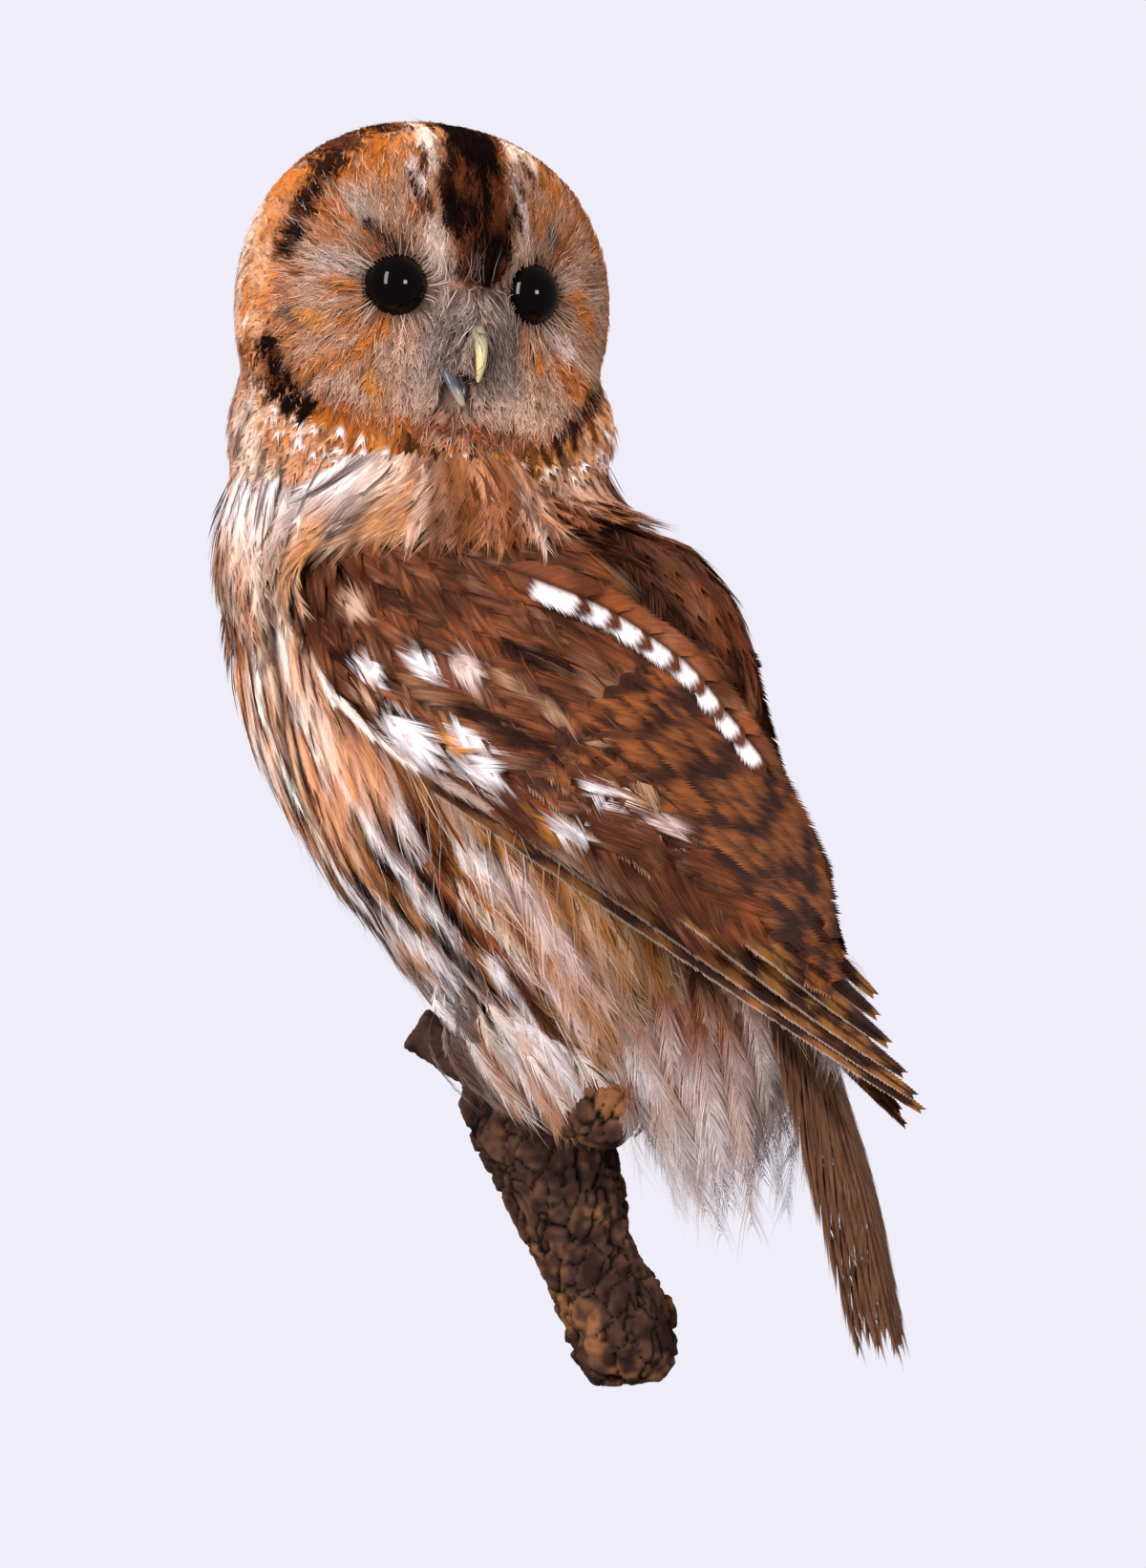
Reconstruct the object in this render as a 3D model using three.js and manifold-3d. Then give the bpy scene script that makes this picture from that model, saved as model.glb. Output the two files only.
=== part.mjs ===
// A mounted tawny owl, life size, on a short cut branch whose sawn end meets a wall.
// Millimetres, +Z up. The origin is the middle of the sawn end and the wall is the plane Y = 0.
// The owl sits across the branch: its body faces -X and a little towards the wall, and its
// head is turned back over the left shoulder, towards -Y.
import * as THREE from "three";
import { mergeVertices } from "three/addons/utils/BufferGeometryUtils.js";
import Module from "manifold-3d";

const wasm = await Module();
wasm.setup();

// ---------------------------------------------------------------- driving dimensions

const GAP = 0.3; // between neighbouring solids
const FINENESS = 0.1; // how closely the finished meshes follow the forms
const LEFT = -1; // the owl's left is its own -X
const RIGHT = 1;

// The bird's own axes are +X to its right, +Y forward and +Z up its back.
const BODY = { centre: [-17, -98, 103], yaw: 68, lean: 24.6 };
const HEAD = { centre: [-40, -96, 224.5], yaw: 204, nod: -3, roll: -4.5 };

// Rows run along the body from vent to throat: height, half width, depth in front, depth behind.
const CUT = { head: 182, neck: 156 }; // heights in the room that part head, neck and trunk
const TRUNK = {
  low: -116,
  high: 104,
  bluntness: 3.4,
  rows: [
    [-116, 34, 40, 42],
    [-90, 42, 48, 52],
    [-60, 50, 56, 58],
    [-30, 55, 64, 72],
    [0, 57, 70, 79],
    [25, 56, 73, 73],
    [45, 52, 73, 56],
    [75, 45, 68, 39],
    [104, 42, 56, 28],
  ],
};
// The neck stands upright between head and trunk. Its rows are height in the room, half width,
// then depth towards the face's side and towards the wall.
const NECK = {
  axis: [-42, -94],
  low: 112,
  high: 225,
  rows: [
    [112, 44, 40, 42],
    [135, 57, 39, 48],
    [150, 60, 39, 50],
    [163, 59, 39, 50],
    [178, 56.5, 38, 47],
    [200, 55, 33, 43],
    [225, 43, 27, 35],
  ],
};
const SKULL = { side: 56.5, above: 53.5, below: 56, face: 38, nape: 50, squareness: 2.15 };
const FACE = {
  dish: { depth: 4.2, radius: 15 },
  ridge: { height: 3.6, width: 7, low: -16, high: 30 },
};
const EYE = { radius: 9.4, apart: 44, forward: 27.5, up: 6 };
const BILL = {
  upper: { root: [0, 33, -5], tip: [0, 41, -23.5], bend: 5.5, width: 6, height: 7.5 },
  lower: { root: [0, 30, -16], tip: [0, 37, -27], bend: 1.5, width: 4.6, height: 3.6 },
};

// A wing runs from wrist to tip. Each row is a share of its length, then the leading edge and the
// trailing edge as distance outwards, forward and up, then thickness and camber.
const WING = {
  rows: [
    [0.0, 28, 8, 74, 26, -14, 72, 5, 1],
    [0.1, 52, 24, 56, 42, -36, 56, 9, 7],
    [0.24, 56, 26, 26, 34, -58, 32, 10, 10],
    [0.4, 61, 11, -4, 26, -71, 4, 9, 10],
    [0.58, 62, -14, -36, 19, -75, -30, 8, 9],
    [0.78, 54, -38, -74, 16, -75, -68, 6, 7],
    [1.0, 40, -59, -104, 15, -76, -104, 3.5, 3],
  ],
};
// Folded, the left wing's point lies over the right's, which is drawn in towards the tail.
const UNDER_WING = { inwards: 7, forward: 15, from: 40, to: -60 };

// The long primaries show from under the wing's lower edge and run on to the wing's point.
const PRIMARIES = {
  rows: [
    [0.0, 60, -19, -44, 52, -33, -38, 3, 0.5],
    [0.35, 50, -46, -82, 39, -58, -77, 3.4, 1],
    [0.6, 36, -65, -112, 20, -74, -107, 3, 1.5],
    [0.85, 26, -71, -138, 14, -76, -134, 2.4, 1],
    [1.0, 18, -74, -153, 15, -76, -151, 1.2, 0.3],
  ],
};
const TAIL = {
  rows: [
    [0.0, 16, -50, -62, 12, 3],
    [0.35, 24, -47, -114, 9, 4],
    [0.7, 30, -39.5, -168, 6.5, 4],
    [1.0, 27, -31.5, -211, 2.4, 3],
  ],
  points: 5,
  raggedness: 11,
};
const VENT = { top: [0, -14, -78], tip: [0, -12, -155], width: 32, depth: 30 };

const LEG = { apart: 36, hip: [25, 24, -52], thigh: 21, ankle: 9 };
const FEET_AT = 0.7; // share of the way out along the limb
// Toes wrap the limb by an angle, and claws go on from them.
const TOE = { radius: 4.1, fan: 6.5, from: -14, wrap: 84, lift: 1.4 };
const CLAW = { radius: 1.9, point: 0.35, from: 85.6, wrap: 130 };
const PAD = { radius: 9, above: 6.5 };

// The limb runs from the wall to the knob at its end.
const LIMB = { wallRadius: 15, radius: 11, end: [12, -140, -8], knob: 11.5, lumps: 0.6 };
const BARK = {
  // down the thick stub: X, Y, Z, half width, half depth
  rows: [
    [-21, -100, 9, 9, 9],
    [-13, -102, -6, 17, 15],
    [-2, -103, -24, 18, 16],
    [4, -103, -44, 15.5, 15],
    [9.5, -103, -57, 13.5, 14],
    [15.5, -103, -68, 15.5, 15],
    [18, -103, -79, 15, 14],
    [19, -103, -87, 10, 10],
  ],
  lumps: 1.5,
};
const SPUR = {
  lumps: 0.7,
  rows: [
    [-8, -101, -2, 9, 9],
    [-22, -100, 3, 7.5, 8],
    [-34, -99, 9, 6.5, 7],
    [-43, -98, 15, 7, 7],
  ],
};

// ---------------------------------------------------------------- small tools

const rad = THREE.MathUtils.degToRad;
const mix = THREE.MathUtils.lerp;
const vec = (x, y, z) => new THREE.Vector3(x, y, z);
const bell = (distance, width) => Math.exp(-((distance / width) ** 2));

// A smooth curve through rows of numbers: returns the rest of the row at a first value.
function through(rows) {
  const slope = (i, k) => {
    const a = rows[Math.max(i - 1, 0)];
    const b = rows[Math.min(i + 1, rows.length - 1)];
    return (b[k] - a[k]) / (b[0] - a[0]);
  };
  return (at) => {
    const t = THREE.MathUtils.clamp(at, rows[0][0], rows.at(-1)[0]);
    const next = rows.findIndex((row) => row[0] >= t) || 1;
    const [a, b] = [rows[next - 1], rows[next]];
    const h = b[0] - a[0];
    const u = (t - a[0]) / h;
    const ease = u * u * (3 - 2 * u);
    return a.slice(1).map((_, column) => {
      const k = column + 1;
      const start = slope(next - 1, k) * h * u * (1 - u) ** 2;
      const end = slope(next, k) * h * u * u * (1 - u);
      return mix(a[k], b[k], ease) + start - end;
    });
  };
}

// A closed three.js geometry as a manifold solid with outward faces.
function solidOf(geometry) {
  const bare = geometry.clone();
  bare.deleteAttribute("normal");
  bare.deleteAttribute("uv");
  const merged = mergeVertices(bare, 1e-4);
  const vertProperties = merged.attributes.position.array;
  const triVerts = new Uint32Array(merged.index.array);
  const make = () => new wasm.Manifold(new wasm.Mesh({ numProp: 3, vertProperties, triVerts }));
  const made = make();
  if (made.volume() > 0) return made;
  triVerts.reverse();
  return make();
}

// A closed primitive with each vertex moved to the place that a function gives for it.
function shaped(primitive, place) {
  const { position } = primitive.attributes;
  const point = new THREE.Vector3();
  for (let i = 0; i < position.count; i++) {
    const to = place(point.fromBufferAttribute(position, i).clone());
    position.setXYZ(i, to.x, to.y, to.z);
  }
  return solidOf(primitive);
}

function largestBody(solid) {
  return solid.decompose().sort((a, b) => b.volume() - a.volume())[0];
}

function geometryOf(solid) {
  const { vertProperties, triVerts } = solid.getMesh();
  const geometry = new THREE.BufferGeometry();
  geometry.setAttribute("position", new THREE.BufferAttribute(vertProperties, 3));
  geometry.setIndex(new THREE.BufferAttribute(triVerts, 1));
  geometry.computeVertexNormals();
  return geometry;
}

function meshOf(name, solid, material) {
  const mesh = new THREE.Mesh(geometryOf(solid.simplify(FINENESS)), material);
  mesh.name = name;
  return mesh;
}

// The solid with every face moved out by the gap, to cut its neighbours clear of it.
function grown(solid) {
  const { vertProperties: places, triVerts } = solid.getMesh();
  const corner = (k) => new THREE.Vector3().fromArray(places, 3 * k);
  const normalsAt = Array.from({ length: places.length / 3 }, () => []);
  for (let i = 0; i < triVerts.length; i += 3) {
    const [a, b, c] = triVerts.slice(i, i + 3);
    const normal = corner(b).sub(corner(a)).cross(corner(c).sub(corner(a))).normalize();
    for (const k of [a, b, c]) normalsAt[k].push(normal);
  }
  const geometry = geometryOf(solid);
  normalsAt.forEach((normals, k) => {
    const shift = new THREE.Vector3();
    for (let pass = 0; pass < 12; pass++) {
      for (const normal of normals) {
        shift.addScaledVector(normal, Math.max(GAP - shift.dot(normal), 0));
      }
    }
    geometry.attributes.position.setXYZ(k, ...corner(k).add(shift).toArray());
  });
  return solidOf(geometry);
}

const cutter = (forms) => wasm.Manifold.union(forms);
const moved = (solid, matrix) => solid.transform(matrix.elements);
const mirrored = (solid, side) => (side === LEFT ? solid.mirror([1, 0, 0]) : solid);

// ---------------------------------------------------------------- frames

function posed({ centre, yaw, lean = 0, nod = 0, roll = 0 }) {
  const turn = new THREE.Euler(rad(nod - lean), rad(roll), rad(yaw), "ZXY");
  return new THREE.Matrix4().makeRotationFromEuler(turn).setPosition(...centre);
}
const bodyToRoom = posed(BODY);
const roomToBody = bodyToRoom.clone().invert();
const headToBody = roomToBody.clone().multiply(posed(HEAD));

// ---------------------------------------------------------------- materials

const finish = (color, roughness, metalness = 0) =>
  new THREE.MeshStandardMaterial({ color, roughness, metalness });
const plumage = finish(0x8a5230, 0.85);
const pale = finish(0xb08a68, 0.85);
const facial = finish(0xb4793f, 0.85);
const quill = finish(0x5e3c26, 0.7);
const glassEye = finish(0x050404, 0.05);
const horn = finish(0xb9a268, 0.4);
const claw = finish(0x2a211b, 0.4);
const bark = finish(0x4a2f20, 0.95);

// ---------------------------------------------------------------- flesh, in the bird's axes

function trunkForm() {
  const { low, high, bluntness, rows } = TRUNK;
  const at = through(rows);
  return shaped(new THREE.SphereGeometry(1, 26, 17), ({ x, y, z }) => {
    const height = mix(low, high, (y + 1) / 2);
    const [side, front, back] = at(height);
    const closing = (1 - Math.abs(y) ** bluntness) ** (1 / bluntness);
    const ring = Math.hypot(x, z) || 1;
    const depth = z > 0 ? front : back;
    return vec((x / ring) * side * closing, (z / ring) * depth * closing, height);
  });
}

function neckForm() {
  const { axis, low, high, rows } = NECK;
  const at = through(rows);
  const upright = shaped(new THREE.CylinderGeometry(1, 1, 1, 24, 7), ({ x, y, z }) => {
    const height = mix(low, high, y + 0.5);
    const [side, front, back] = at(height);
    return vec(axis[0] + x * side, axis[1] + z * (z < 0 ? front : back), height);
  });
  return moved(upright, roomToBody);
}

// How far the face stands out of the plain skull, at a place across and up the face.
function faceRelief(across, up) {
  const { dish, ridge } = FACE;
  const fromEye = Math.hypot(Math.abs(across) - EYE.apart / 2, up - EYE.up);
  const middle = (ridge.low + ridge.high) / 2;
  const window = bell(up - middle, (ridge.high - ridge.low) / 1.6);
  return ridge.height * bell(across, ridge.width) * window - dish.depth * bell(fromEye, dish.radius);
}

// Seen from the front the head is a little squarer than an ellipse.
function headForm() {
  const { side, above, below, face, nape, squareness } = SKULL;
  const form = shaped(new THREE.SphereGeometry(1, 30, 20), ({ x, y, z }) => {
    const radius = Math.hypot(x, y) || 1;
    const power = Math.abs(x / radius) ** squareness + Math.abs(y / radius) ** squareness;
    const fuller = power > 0 ? power ** (-1 / squareness) : 1;
    const across = x * side * fuller;
    const up = y * (y > 0 ? above : below) * fuller;
    const forward = z * (z > 0 ? face : nape);
    return vec(across, forward + Math.max(z, 0) * faceRelief(across, up), up);
  });
  return moved(form, headToBody);
}

function eyeForm(side) {
  const ball = solidOf(new THREE.SphereGeometry(EYE.radius, 12, 9));
  return moved(ball.translate([(side * EYE.apart) / 2, EYE.forward, EYE.up]), headToBody);
}

// A tapered horn that bends forward between its root and its tip.
function hornForm({ root, tip, bend, width, height }) {
  const form = shaped(new THREE.CylinderGeometry(1, 1, 1, 8, 5), ({ x, y, z }) => {
    const t = 0.5 - y;
    const taper = (1 - t) ** 0.7 + 0.06;
    const middle = vec(...root).lerp(vec(...tip), t);
    middle.y += bend * Math.sin(Math.PI * t) + z * height * taper;
    middle.x += x * width * taper;
    return middle;
  });
  return moved(form, headToBody);
}

// A thin cambered blade between two edges, out to one side of the bird.
function bladeForm(rows, side) {
  const at = through(rows);
  const form = shaped(new THREE.CylinderGeometry(1, 1, 1, 12, 9), ({ x, y, z }) => {
    const t = 0.5 - y;
    const [lx, ly, lz, tx, ty, tz, thickness, camber] = at(t);
    const lead = vec(lx, ly, lz);
    const trail = vec(tx, ty, tz);
    const chord = trail.clone().sub(lead);
    const outward = vec(-chord.y, chord.x, 0).normalize();
    if (outward.x < 0) outward.negate();
    const across = (x + 1) / 2;
    const place = lead.lerp(trail, across);
    place.addScaledVector(outward, camber * (1 - x * x) + (z * thickness) / 2);
    if (side === RIGHT) {
      const drawn = THREE.MathUtils.smoothstep(-place.z, -UNDER_WING.from, -UNDER_WING.to);
      place.x -= UNDER_WING.inwards * drawn;
      place.y += UNDER_WING.forward * drawn;
    }
    return place;
  });
  return mirrored(form, side);
}

function tailForm() {
  const { rows, points, raggedness } = TAIL;
  const at = through(rows);
  return shaped(new THREE.CylinderGeometry(1, 1, 1, 20, 7), ({ x, y, z }) => {
    const t = 0.5 - y;
    const [halfWidth, forward, height, thickness, arch] = at(t);
    const feather = Math.abs(((x * points) / 2 + 0.25) % 1) * 2 - 1;
    const notch = raggedness * Math.max(t - 0.8, 0) * 5 * (Math.abs(feather) - 0.5);
    const roof = arch * (x * x - 0.5);
    return vec(x * halfWidth, forward + roof + (z * thickness) / 2, height + notch);
  });
}

// The loose feathers under the tail, a flattened cone that hangs down behind the legs.
function ventForm() {
  const { top, tip, width, depth } = VENT;
  return shaped(new THREE.SphereGeometry(1, 14, 9), ({ x, y, z }) => {
    const t = (1 - y) / 2;
    const middle = vec(...top).lerp(vec(...tip), t);
    const narrowing = mix(1, 0.72, t);
    middle.x += x * width * narrowing;
    middle.y += z * depth * narrowing;
    return middle;
  });
}

// ---------------------------------------------------------------- legs and branch

const limbAt = (share) => vec(0, 0, 0).lerp(vec(...LIMB.end), share);
const wave = (a, b, c) => Math.sin(a) * Math.cos(b + 1.3) + 0.6 * Math.sin(1.7 * b + c);

// The branch is rough: its radius swells and sinks along it and round it.
function branchForm({ rows, lumps }, around, along) {
  const at = through(rows.map((row, i) => [i / (rows.length - 1), ...row]));
  return shaped(new THREE.CylinderGeometry(1, 1, 1, around, along), ({ x, y, z }) => {
    const t = 0.5 - y;
    const [cx, cy, cz, halfWidth, halfDepth] = at(t);
    const next = at(Math.min(t + 0.02, 1));
    const before = at(Math.max(t - 0.02, 0));
    const heading = vec(next[0] - before[0], 0, next[2] - before[2]).normalize();
    const sideways = vec(heading.z, 0, -heading.x);
    const turn = Math.atan2(z, x);
    const swell = 1 + (lumps / halfWidth) * wave(3 * turn, 15 * t, 5 * turn);
    return vec(cx, cy, cz)
      .addScaledVector(sideways, x * halfWidth * swell)
      .add(vec(0, z * halfDepth * swell, 0));
  });
}

function limbForm() {
  const tip = vec(...LIMB.end);
  return shaped(new THREE.CylinderGeometry(1, 1, 1, 12, 10), ({ x, y, z }) => {
    const t = 0.5 - y;
    const centre = tip.clone().multiplyScalar(t);
    const flare = mix(LIMB.wallRadius, LIMB.radius, Math.min(t * 5, 1));
    const knob = (LIMB.knob - LIMB.radius) * bell(t - 0.94, 0.06);
    const rounding = t > 0.96 ? 1 - ((t - 0.96) / 0.04) ** 2 * 0.3 : 1;
    const turn = Math.atan2(z, x);
    const bare = t < 0.04 || t > 0.99; // the sawn ends stay flat
    const lump = bare ? 0 : LIMB.lumps * wave(4 * turn, 26 * t, 3 * turn);
    const radius = (flare + knob + lump) * rounding;
    return centre.add(vec(x * radius, 0, z * radius));
  });
}

// A tube that wraps the limb from on top of it, towards the front (-X) or the back (+X).
function wrapForm(y, towards, angles, radii) {
  const centre = limbAt(y / LIMB.end[1]);
  return shaped(new THREE.CylinderGeometry(1, 1, 1, 5, 3), ({ x, y: h, z }) => {
    const t = 0.5 - h;
    const angle = rad(mix(...angles, t));
    const thickness = mix(...radii, t);
    const reach = LIMB.radius + TOE.lift + thickness + x * thickness;
    const along = z * thickness;
    return vec(
      centre.x + towards * Math.sin(angle) * reach,
      y + along,
      centre.z + Math.cos(angle) * reach,
    );
  });
}

// Two toes in front of the limb and two behind it, as an owl perches.
const footPlace = (side) => limbAt(FEET_AT + (side * LEG.apart) / 2 / LIMB.end[1]);
function toesOf(side) {
  const footY = footPlace(side).y;
  return [-1, 1].flatMap((towards) =>
    [-1, 1].map((spread) => ({ towards, y: footY + spread * TOE.fan })),
  );
}

function footForm(side) {
  const { radius, from, wrap } = TOE;
  const toes = toesOf(side).map(({ towards, y }) =>
    wrapForm(y, towards, [from, wrap], [radius, radius * 0.72]),
  );
  const { x, y, z } = footPlace(side);
  const pad = solidOf(new THREE.SphereGeometry(PAD.radius, 8, 4)).scale([1, 1.1, 0.62]);
  return cutter([...toes, pad.translate([x, y, z + LIMB.radius + PAD.above])]);
}

function clawForms(side) {
  const { radius, point, from, wrap } = CLAW;
  return toesOf(side).map(({ towards, y }) =>
    wrapForm(y, towards, [from, wrap], [radius, point]),
  );
}

// A feathered leg from inside the belly to the top of its foot.
function legForm(side) {
  const ankle = footPlace(side).add(vec(0, 0, LIMB.radius + 5)).applyMatrix4(roomToBody);
  const hip = vec(side * LEG.hip[0], LEG.hip[1], LEG.hip[2]);
  return shaped(new THREE.SphereGeometry(1, 10, 6), ({ x, y, z }) => {
    const t = (1 - y) / 2;
    const width = mix(LEG.thigh, LEG.ankle, t ** 0.8);
    return hip.clone().lerp(ankle, t).add(vec(x * width, z * width, 0));
  });
}

// ---------------------------------------------------------------- the bird, cut into its parts


const sides = [
  ["left", LEFT],
  ["right", RIGHT],
];
const bothSides = (form) => sides.map(([, side]) => form(side));
const cutAll = (forms) => cutter(forms.map(grown));

const upperBill = hornForm(BILL.upper);
const lowerBill = hornForm(BILL.lower).subtract(grown(upperBill));
const wings = bothSides((side) => bladeForm(WING.rows, side));
const quills = bothSides((side) => bladeForm(PRIMARIES.rows, side));
const legs = bothSides(legForm);
const eyes = bothSides(eyeForm);
const feet = bothSides(footForm);
const tailBlade = tailForm();

const wingsCut = cutAll(wings);
const quillsCut = cutAll(quills);
const legsCut = cutAll(legs);
const tailCut = grown(tailBlade);
const branch = cutter([branchForm(BARK, 14, 12), branchForm(SPUR, 10, 5), limbForm()]);
const branchCut = moved(grown(branch), roomToBody);
const claws = bothSides(clawForms);
const clawsCut = cutAll(claws.flat());
const feetCut = cutter([cutAll(feet), clawsCut]);
const feetCutInBody = moved(feetCut, roomToBody);

// Two level cuts part the head, neck and trunk.
const flesh = cutter([trunkForm(), neckForm(), headForm()]);
const up = vec(0, 0, 1).transformDirection(roomToBody);
const heightOf = (roomHeight) => vec(0, 0, roomHeight).applyMatrix4(roomToBody).dot(up);
const above = (solid, height) => solid.trimByPlane(up.toArray(), heightOf(height) + GAP / 2);
const below = (solid, height) =>
  solid.trimByPlane(up.clone().negate().toArray(), -heightOf(height) + GAP / 2);
const neckBlock = below(above(flesh, CUT.neck), CUT.head);
const trunkBlock = below(flesh, CUT.neck);

const bird = new THREE.Group();
bird.applyMatrix4(bodyToRoom);
const add = (name, solid, material) => bird.add(meshOf(name, largestBody(solid), material));

add("head", above(flesh, CUT.head).subtract(cutAll([...eyes, upperBill, lowerBill])), facial);
add("neck", neckBlock.subtract(wingsCut), plumage);
const trunk = trunkBlock.subtract(cutter([wingsCut, quillsCut, tailCut, legsCut, feetCutInBody]));
add("trunk", trunk, plumage);
add("bill_upper", upperBill, horn);
add("bill_lower", lowerBill, horn);
const trunkCut = grown(trunkForm());
const vent = ventForm().subtract(cutter([trunkCut, tailCut, legsCut, branchCut, feetCutInBody]));
add("vent", vent, pale);
add("tail", tailBlade.subtract(cutter([wingsCut, quillsCut])), quill);
sides.forEach(([name], i) => {
  add(`eye_${name}`, eyes[i], glassEye);
  add(`wing_${name}`, wings[i], plumage);
  add(`primaries_${name}`, quills[i].subtract(wingsCut), quill);
  add(`leg_${name}`, legs[i].subtract(cutter([tailCut, branchCut, feetCutInBody])), pale);
});

// ---------------------------------------------------------------- the branch and the feet on it

const stand = new THREE.Group();
const birdCut = moved(trunkCut, bodyToRoom);
const limbCut = grown(limbForm());
stand.add(meshOf("perch", largestBody(branch.subtract(cutter([feetCut, birdCut]))), bark));
sides.forEach(([name], i) => {
  const foot = feet[i].subtract(cutter([limbCut, clawsCut]));
  stand.add(meshOf(`foot_${name}`, largestBody(foot), pale));
  claws[i].forEach((one, k) => {
    stand.add(meshOf(`claw_${name}_${k + 1}`, largestBody(one.subtract(limbCut)), claw));
  });
});

const owl = new THREE.Group();
owl.add(bird, stand);
export default owl;
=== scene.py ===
import itertools
import math

import bmesh
import bpy
import numpy as np
from mathutils import Matrix, Vector
from mathutils.bvhtree import BVHTree


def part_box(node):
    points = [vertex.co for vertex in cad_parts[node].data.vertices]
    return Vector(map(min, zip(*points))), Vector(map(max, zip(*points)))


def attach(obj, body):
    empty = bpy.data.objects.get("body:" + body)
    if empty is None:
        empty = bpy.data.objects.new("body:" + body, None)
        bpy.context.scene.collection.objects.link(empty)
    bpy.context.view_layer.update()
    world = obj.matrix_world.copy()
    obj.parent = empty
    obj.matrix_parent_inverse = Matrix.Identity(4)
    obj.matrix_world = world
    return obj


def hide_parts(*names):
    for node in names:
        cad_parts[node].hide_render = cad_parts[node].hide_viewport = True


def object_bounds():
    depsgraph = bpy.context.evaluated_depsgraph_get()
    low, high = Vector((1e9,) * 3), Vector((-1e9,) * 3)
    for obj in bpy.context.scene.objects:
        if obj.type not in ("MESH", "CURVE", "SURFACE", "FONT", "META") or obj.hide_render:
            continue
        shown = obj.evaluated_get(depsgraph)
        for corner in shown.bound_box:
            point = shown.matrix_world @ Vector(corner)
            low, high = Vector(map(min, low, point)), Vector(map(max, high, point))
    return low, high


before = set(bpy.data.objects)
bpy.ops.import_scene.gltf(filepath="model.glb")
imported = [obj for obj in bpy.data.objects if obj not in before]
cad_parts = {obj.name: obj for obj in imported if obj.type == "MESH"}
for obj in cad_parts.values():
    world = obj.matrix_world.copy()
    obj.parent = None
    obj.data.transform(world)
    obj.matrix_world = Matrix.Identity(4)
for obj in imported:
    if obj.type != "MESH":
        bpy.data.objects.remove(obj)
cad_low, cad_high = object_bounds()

# A mounted tawny owl on a short cut branch. Shapes are worked out in millimetres and stored in metres.
MM = 0.001
chance = np.random.default_rng(11)

# --- dyes, 0 to 255 as seen


def dye(red, green, blue):
    seen = np.array([red, green, blue]) / 255
    return np.where(seen <= 0.04045, seen / 12.92, ((seen + 0.055) / 1.055) ** 2.4)


WHITE = dye(252, 242, 244)
CREAM = dye(248, 220, 200)
PINKISH = dye(230, 200, 192)
BUFF = dye(214, 162, 124)
GREY_BUFF = dye(184, 156, 142)
ASH = dye(160, 122, 100)
ROSY = dye(210, 168, 144)
GREY = dye(142, 122, 114)
SLATE = dye(90, 78, 80)
OCHRE = dye(216, 142, 68)
RUFOUS = dye(174, 94, 36)
TAWNY = dye(196, 114, 54)
FOX = dye(140, 72, 38)
EARTH = dye(102, 60, 42)
UMBER = dye(74, 38, 25)
SEPIA = dye(42, 20, 14)
PITCH = dye(20, 9, 8)

# --- the bird's own frames


def turned(yaw, nod, roll):
    z, x, y = np.radians([yaw, nod, roll])
    about_z = np.array([[math.cos(z), -math.sin(z), 0], [math.sin(z), math.cos(z), 0], [0, 0, 1]])
    about_x = np.array([[1, 0, 0], [0, math.cos(x), -math.sin(x)], [0, math.sin(x), math.cos(x)]])
    about_y = np.array([[math.cos(y), 0, math.sin(y)], [0, 1, 0], [-math.sin(y), 0, math.cos(y)]])
    return about_z @ about_x @ about_y


class Frame:
    """Own axes: X to the owl's right, Y forward, Z up."""

    def __init__(self, centre, yaw, nod, roll):
        self.centre = np.array(centre, float)
        self.axes = turned(yaw, nod, roll)

    def own(self, places):
        return (np.asarray(places) - self.centre) @ self.axes

    def room(self, places):
        return np.asarray(places) @ self.axes.T + self.centre

    def heading(self, way):
        return np.asarray(way) @ self.axes.T


BODY = Frame((-17, -98, 103), 68, -24.6, 0)
HEAD = Frame((-40, -96, 224.5), 204, -3, -4.5)
EYES = np.array([[21.2, 27.5, 3.0], [-19.6, 27.5, 5.0]])
EYE_RADIUS = 9.4
DISC = {"half_width": 52, "half_height": 42, "up": 1, "squareness": 2.4}
NOSTRILS = np.array([0, 30, -6])
NECK_AXIS = np.array([-42, -94, 0])

# Wing rows from wrist to tip: share of the length, leading then trailing edge (out, forward, up), camber.
WING = [
    (0.0, (28, 8, 74), (26, -14, 72), 1),
    (0.1, (52, 24, 56), (42, -36, 56), 7),
    (0.24, (56, 26, 26), (34, -58, 32), 10),
    (0.4, (61, 11, -4), (26, -71, 4), 10),
    (0.58, (62, -14, -36), (19, -75, -30), 9),
    (0.78, (54, -38, -74), (16, -75, -68), 7),
    (1.0, (40, -59, -104), (15, -76, -104), 3),
    (1.3, (25, -72, -140), (15, -76, -138), 1),
    (1.42, (18, -74, -153), (15, -76, -151), 0.3),
]
WING_END = WING[-1][0]
# Tail rows from root to tip: share of the length, half width, middle (out, forward, up), arch.
TAIL = [
    (0.0, 16, (0, -50, -62), 3),
    (0.35, 24, (0, -47, -114), 4),
    (0.7, 30, (0, -39.5, -168), 4),
    (1.0, 27, (0, -31.5, -211), 3),
]

# --- sums


def unit(ways):
    return ways / np.maximum(np.linalg.norm(ways, axis=-1, keepdims=True), 1e-9)


def rise(low, high, x):
    t = np.clip((np.asarray(x, float) - low) / (high - low), 0, 1)
    return t * t * (3 - 2 * t)


def mixed(a, b, share):
    return a + (b - a) * np.asarray(share)[..., None]


def layered(colour, *layers):
    """A colour with others laid over it in turn; each layer is a colour and its share."""
    for paint, share in layers:
        colour = mixed(colour, paint, share)
    return colour


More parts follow.
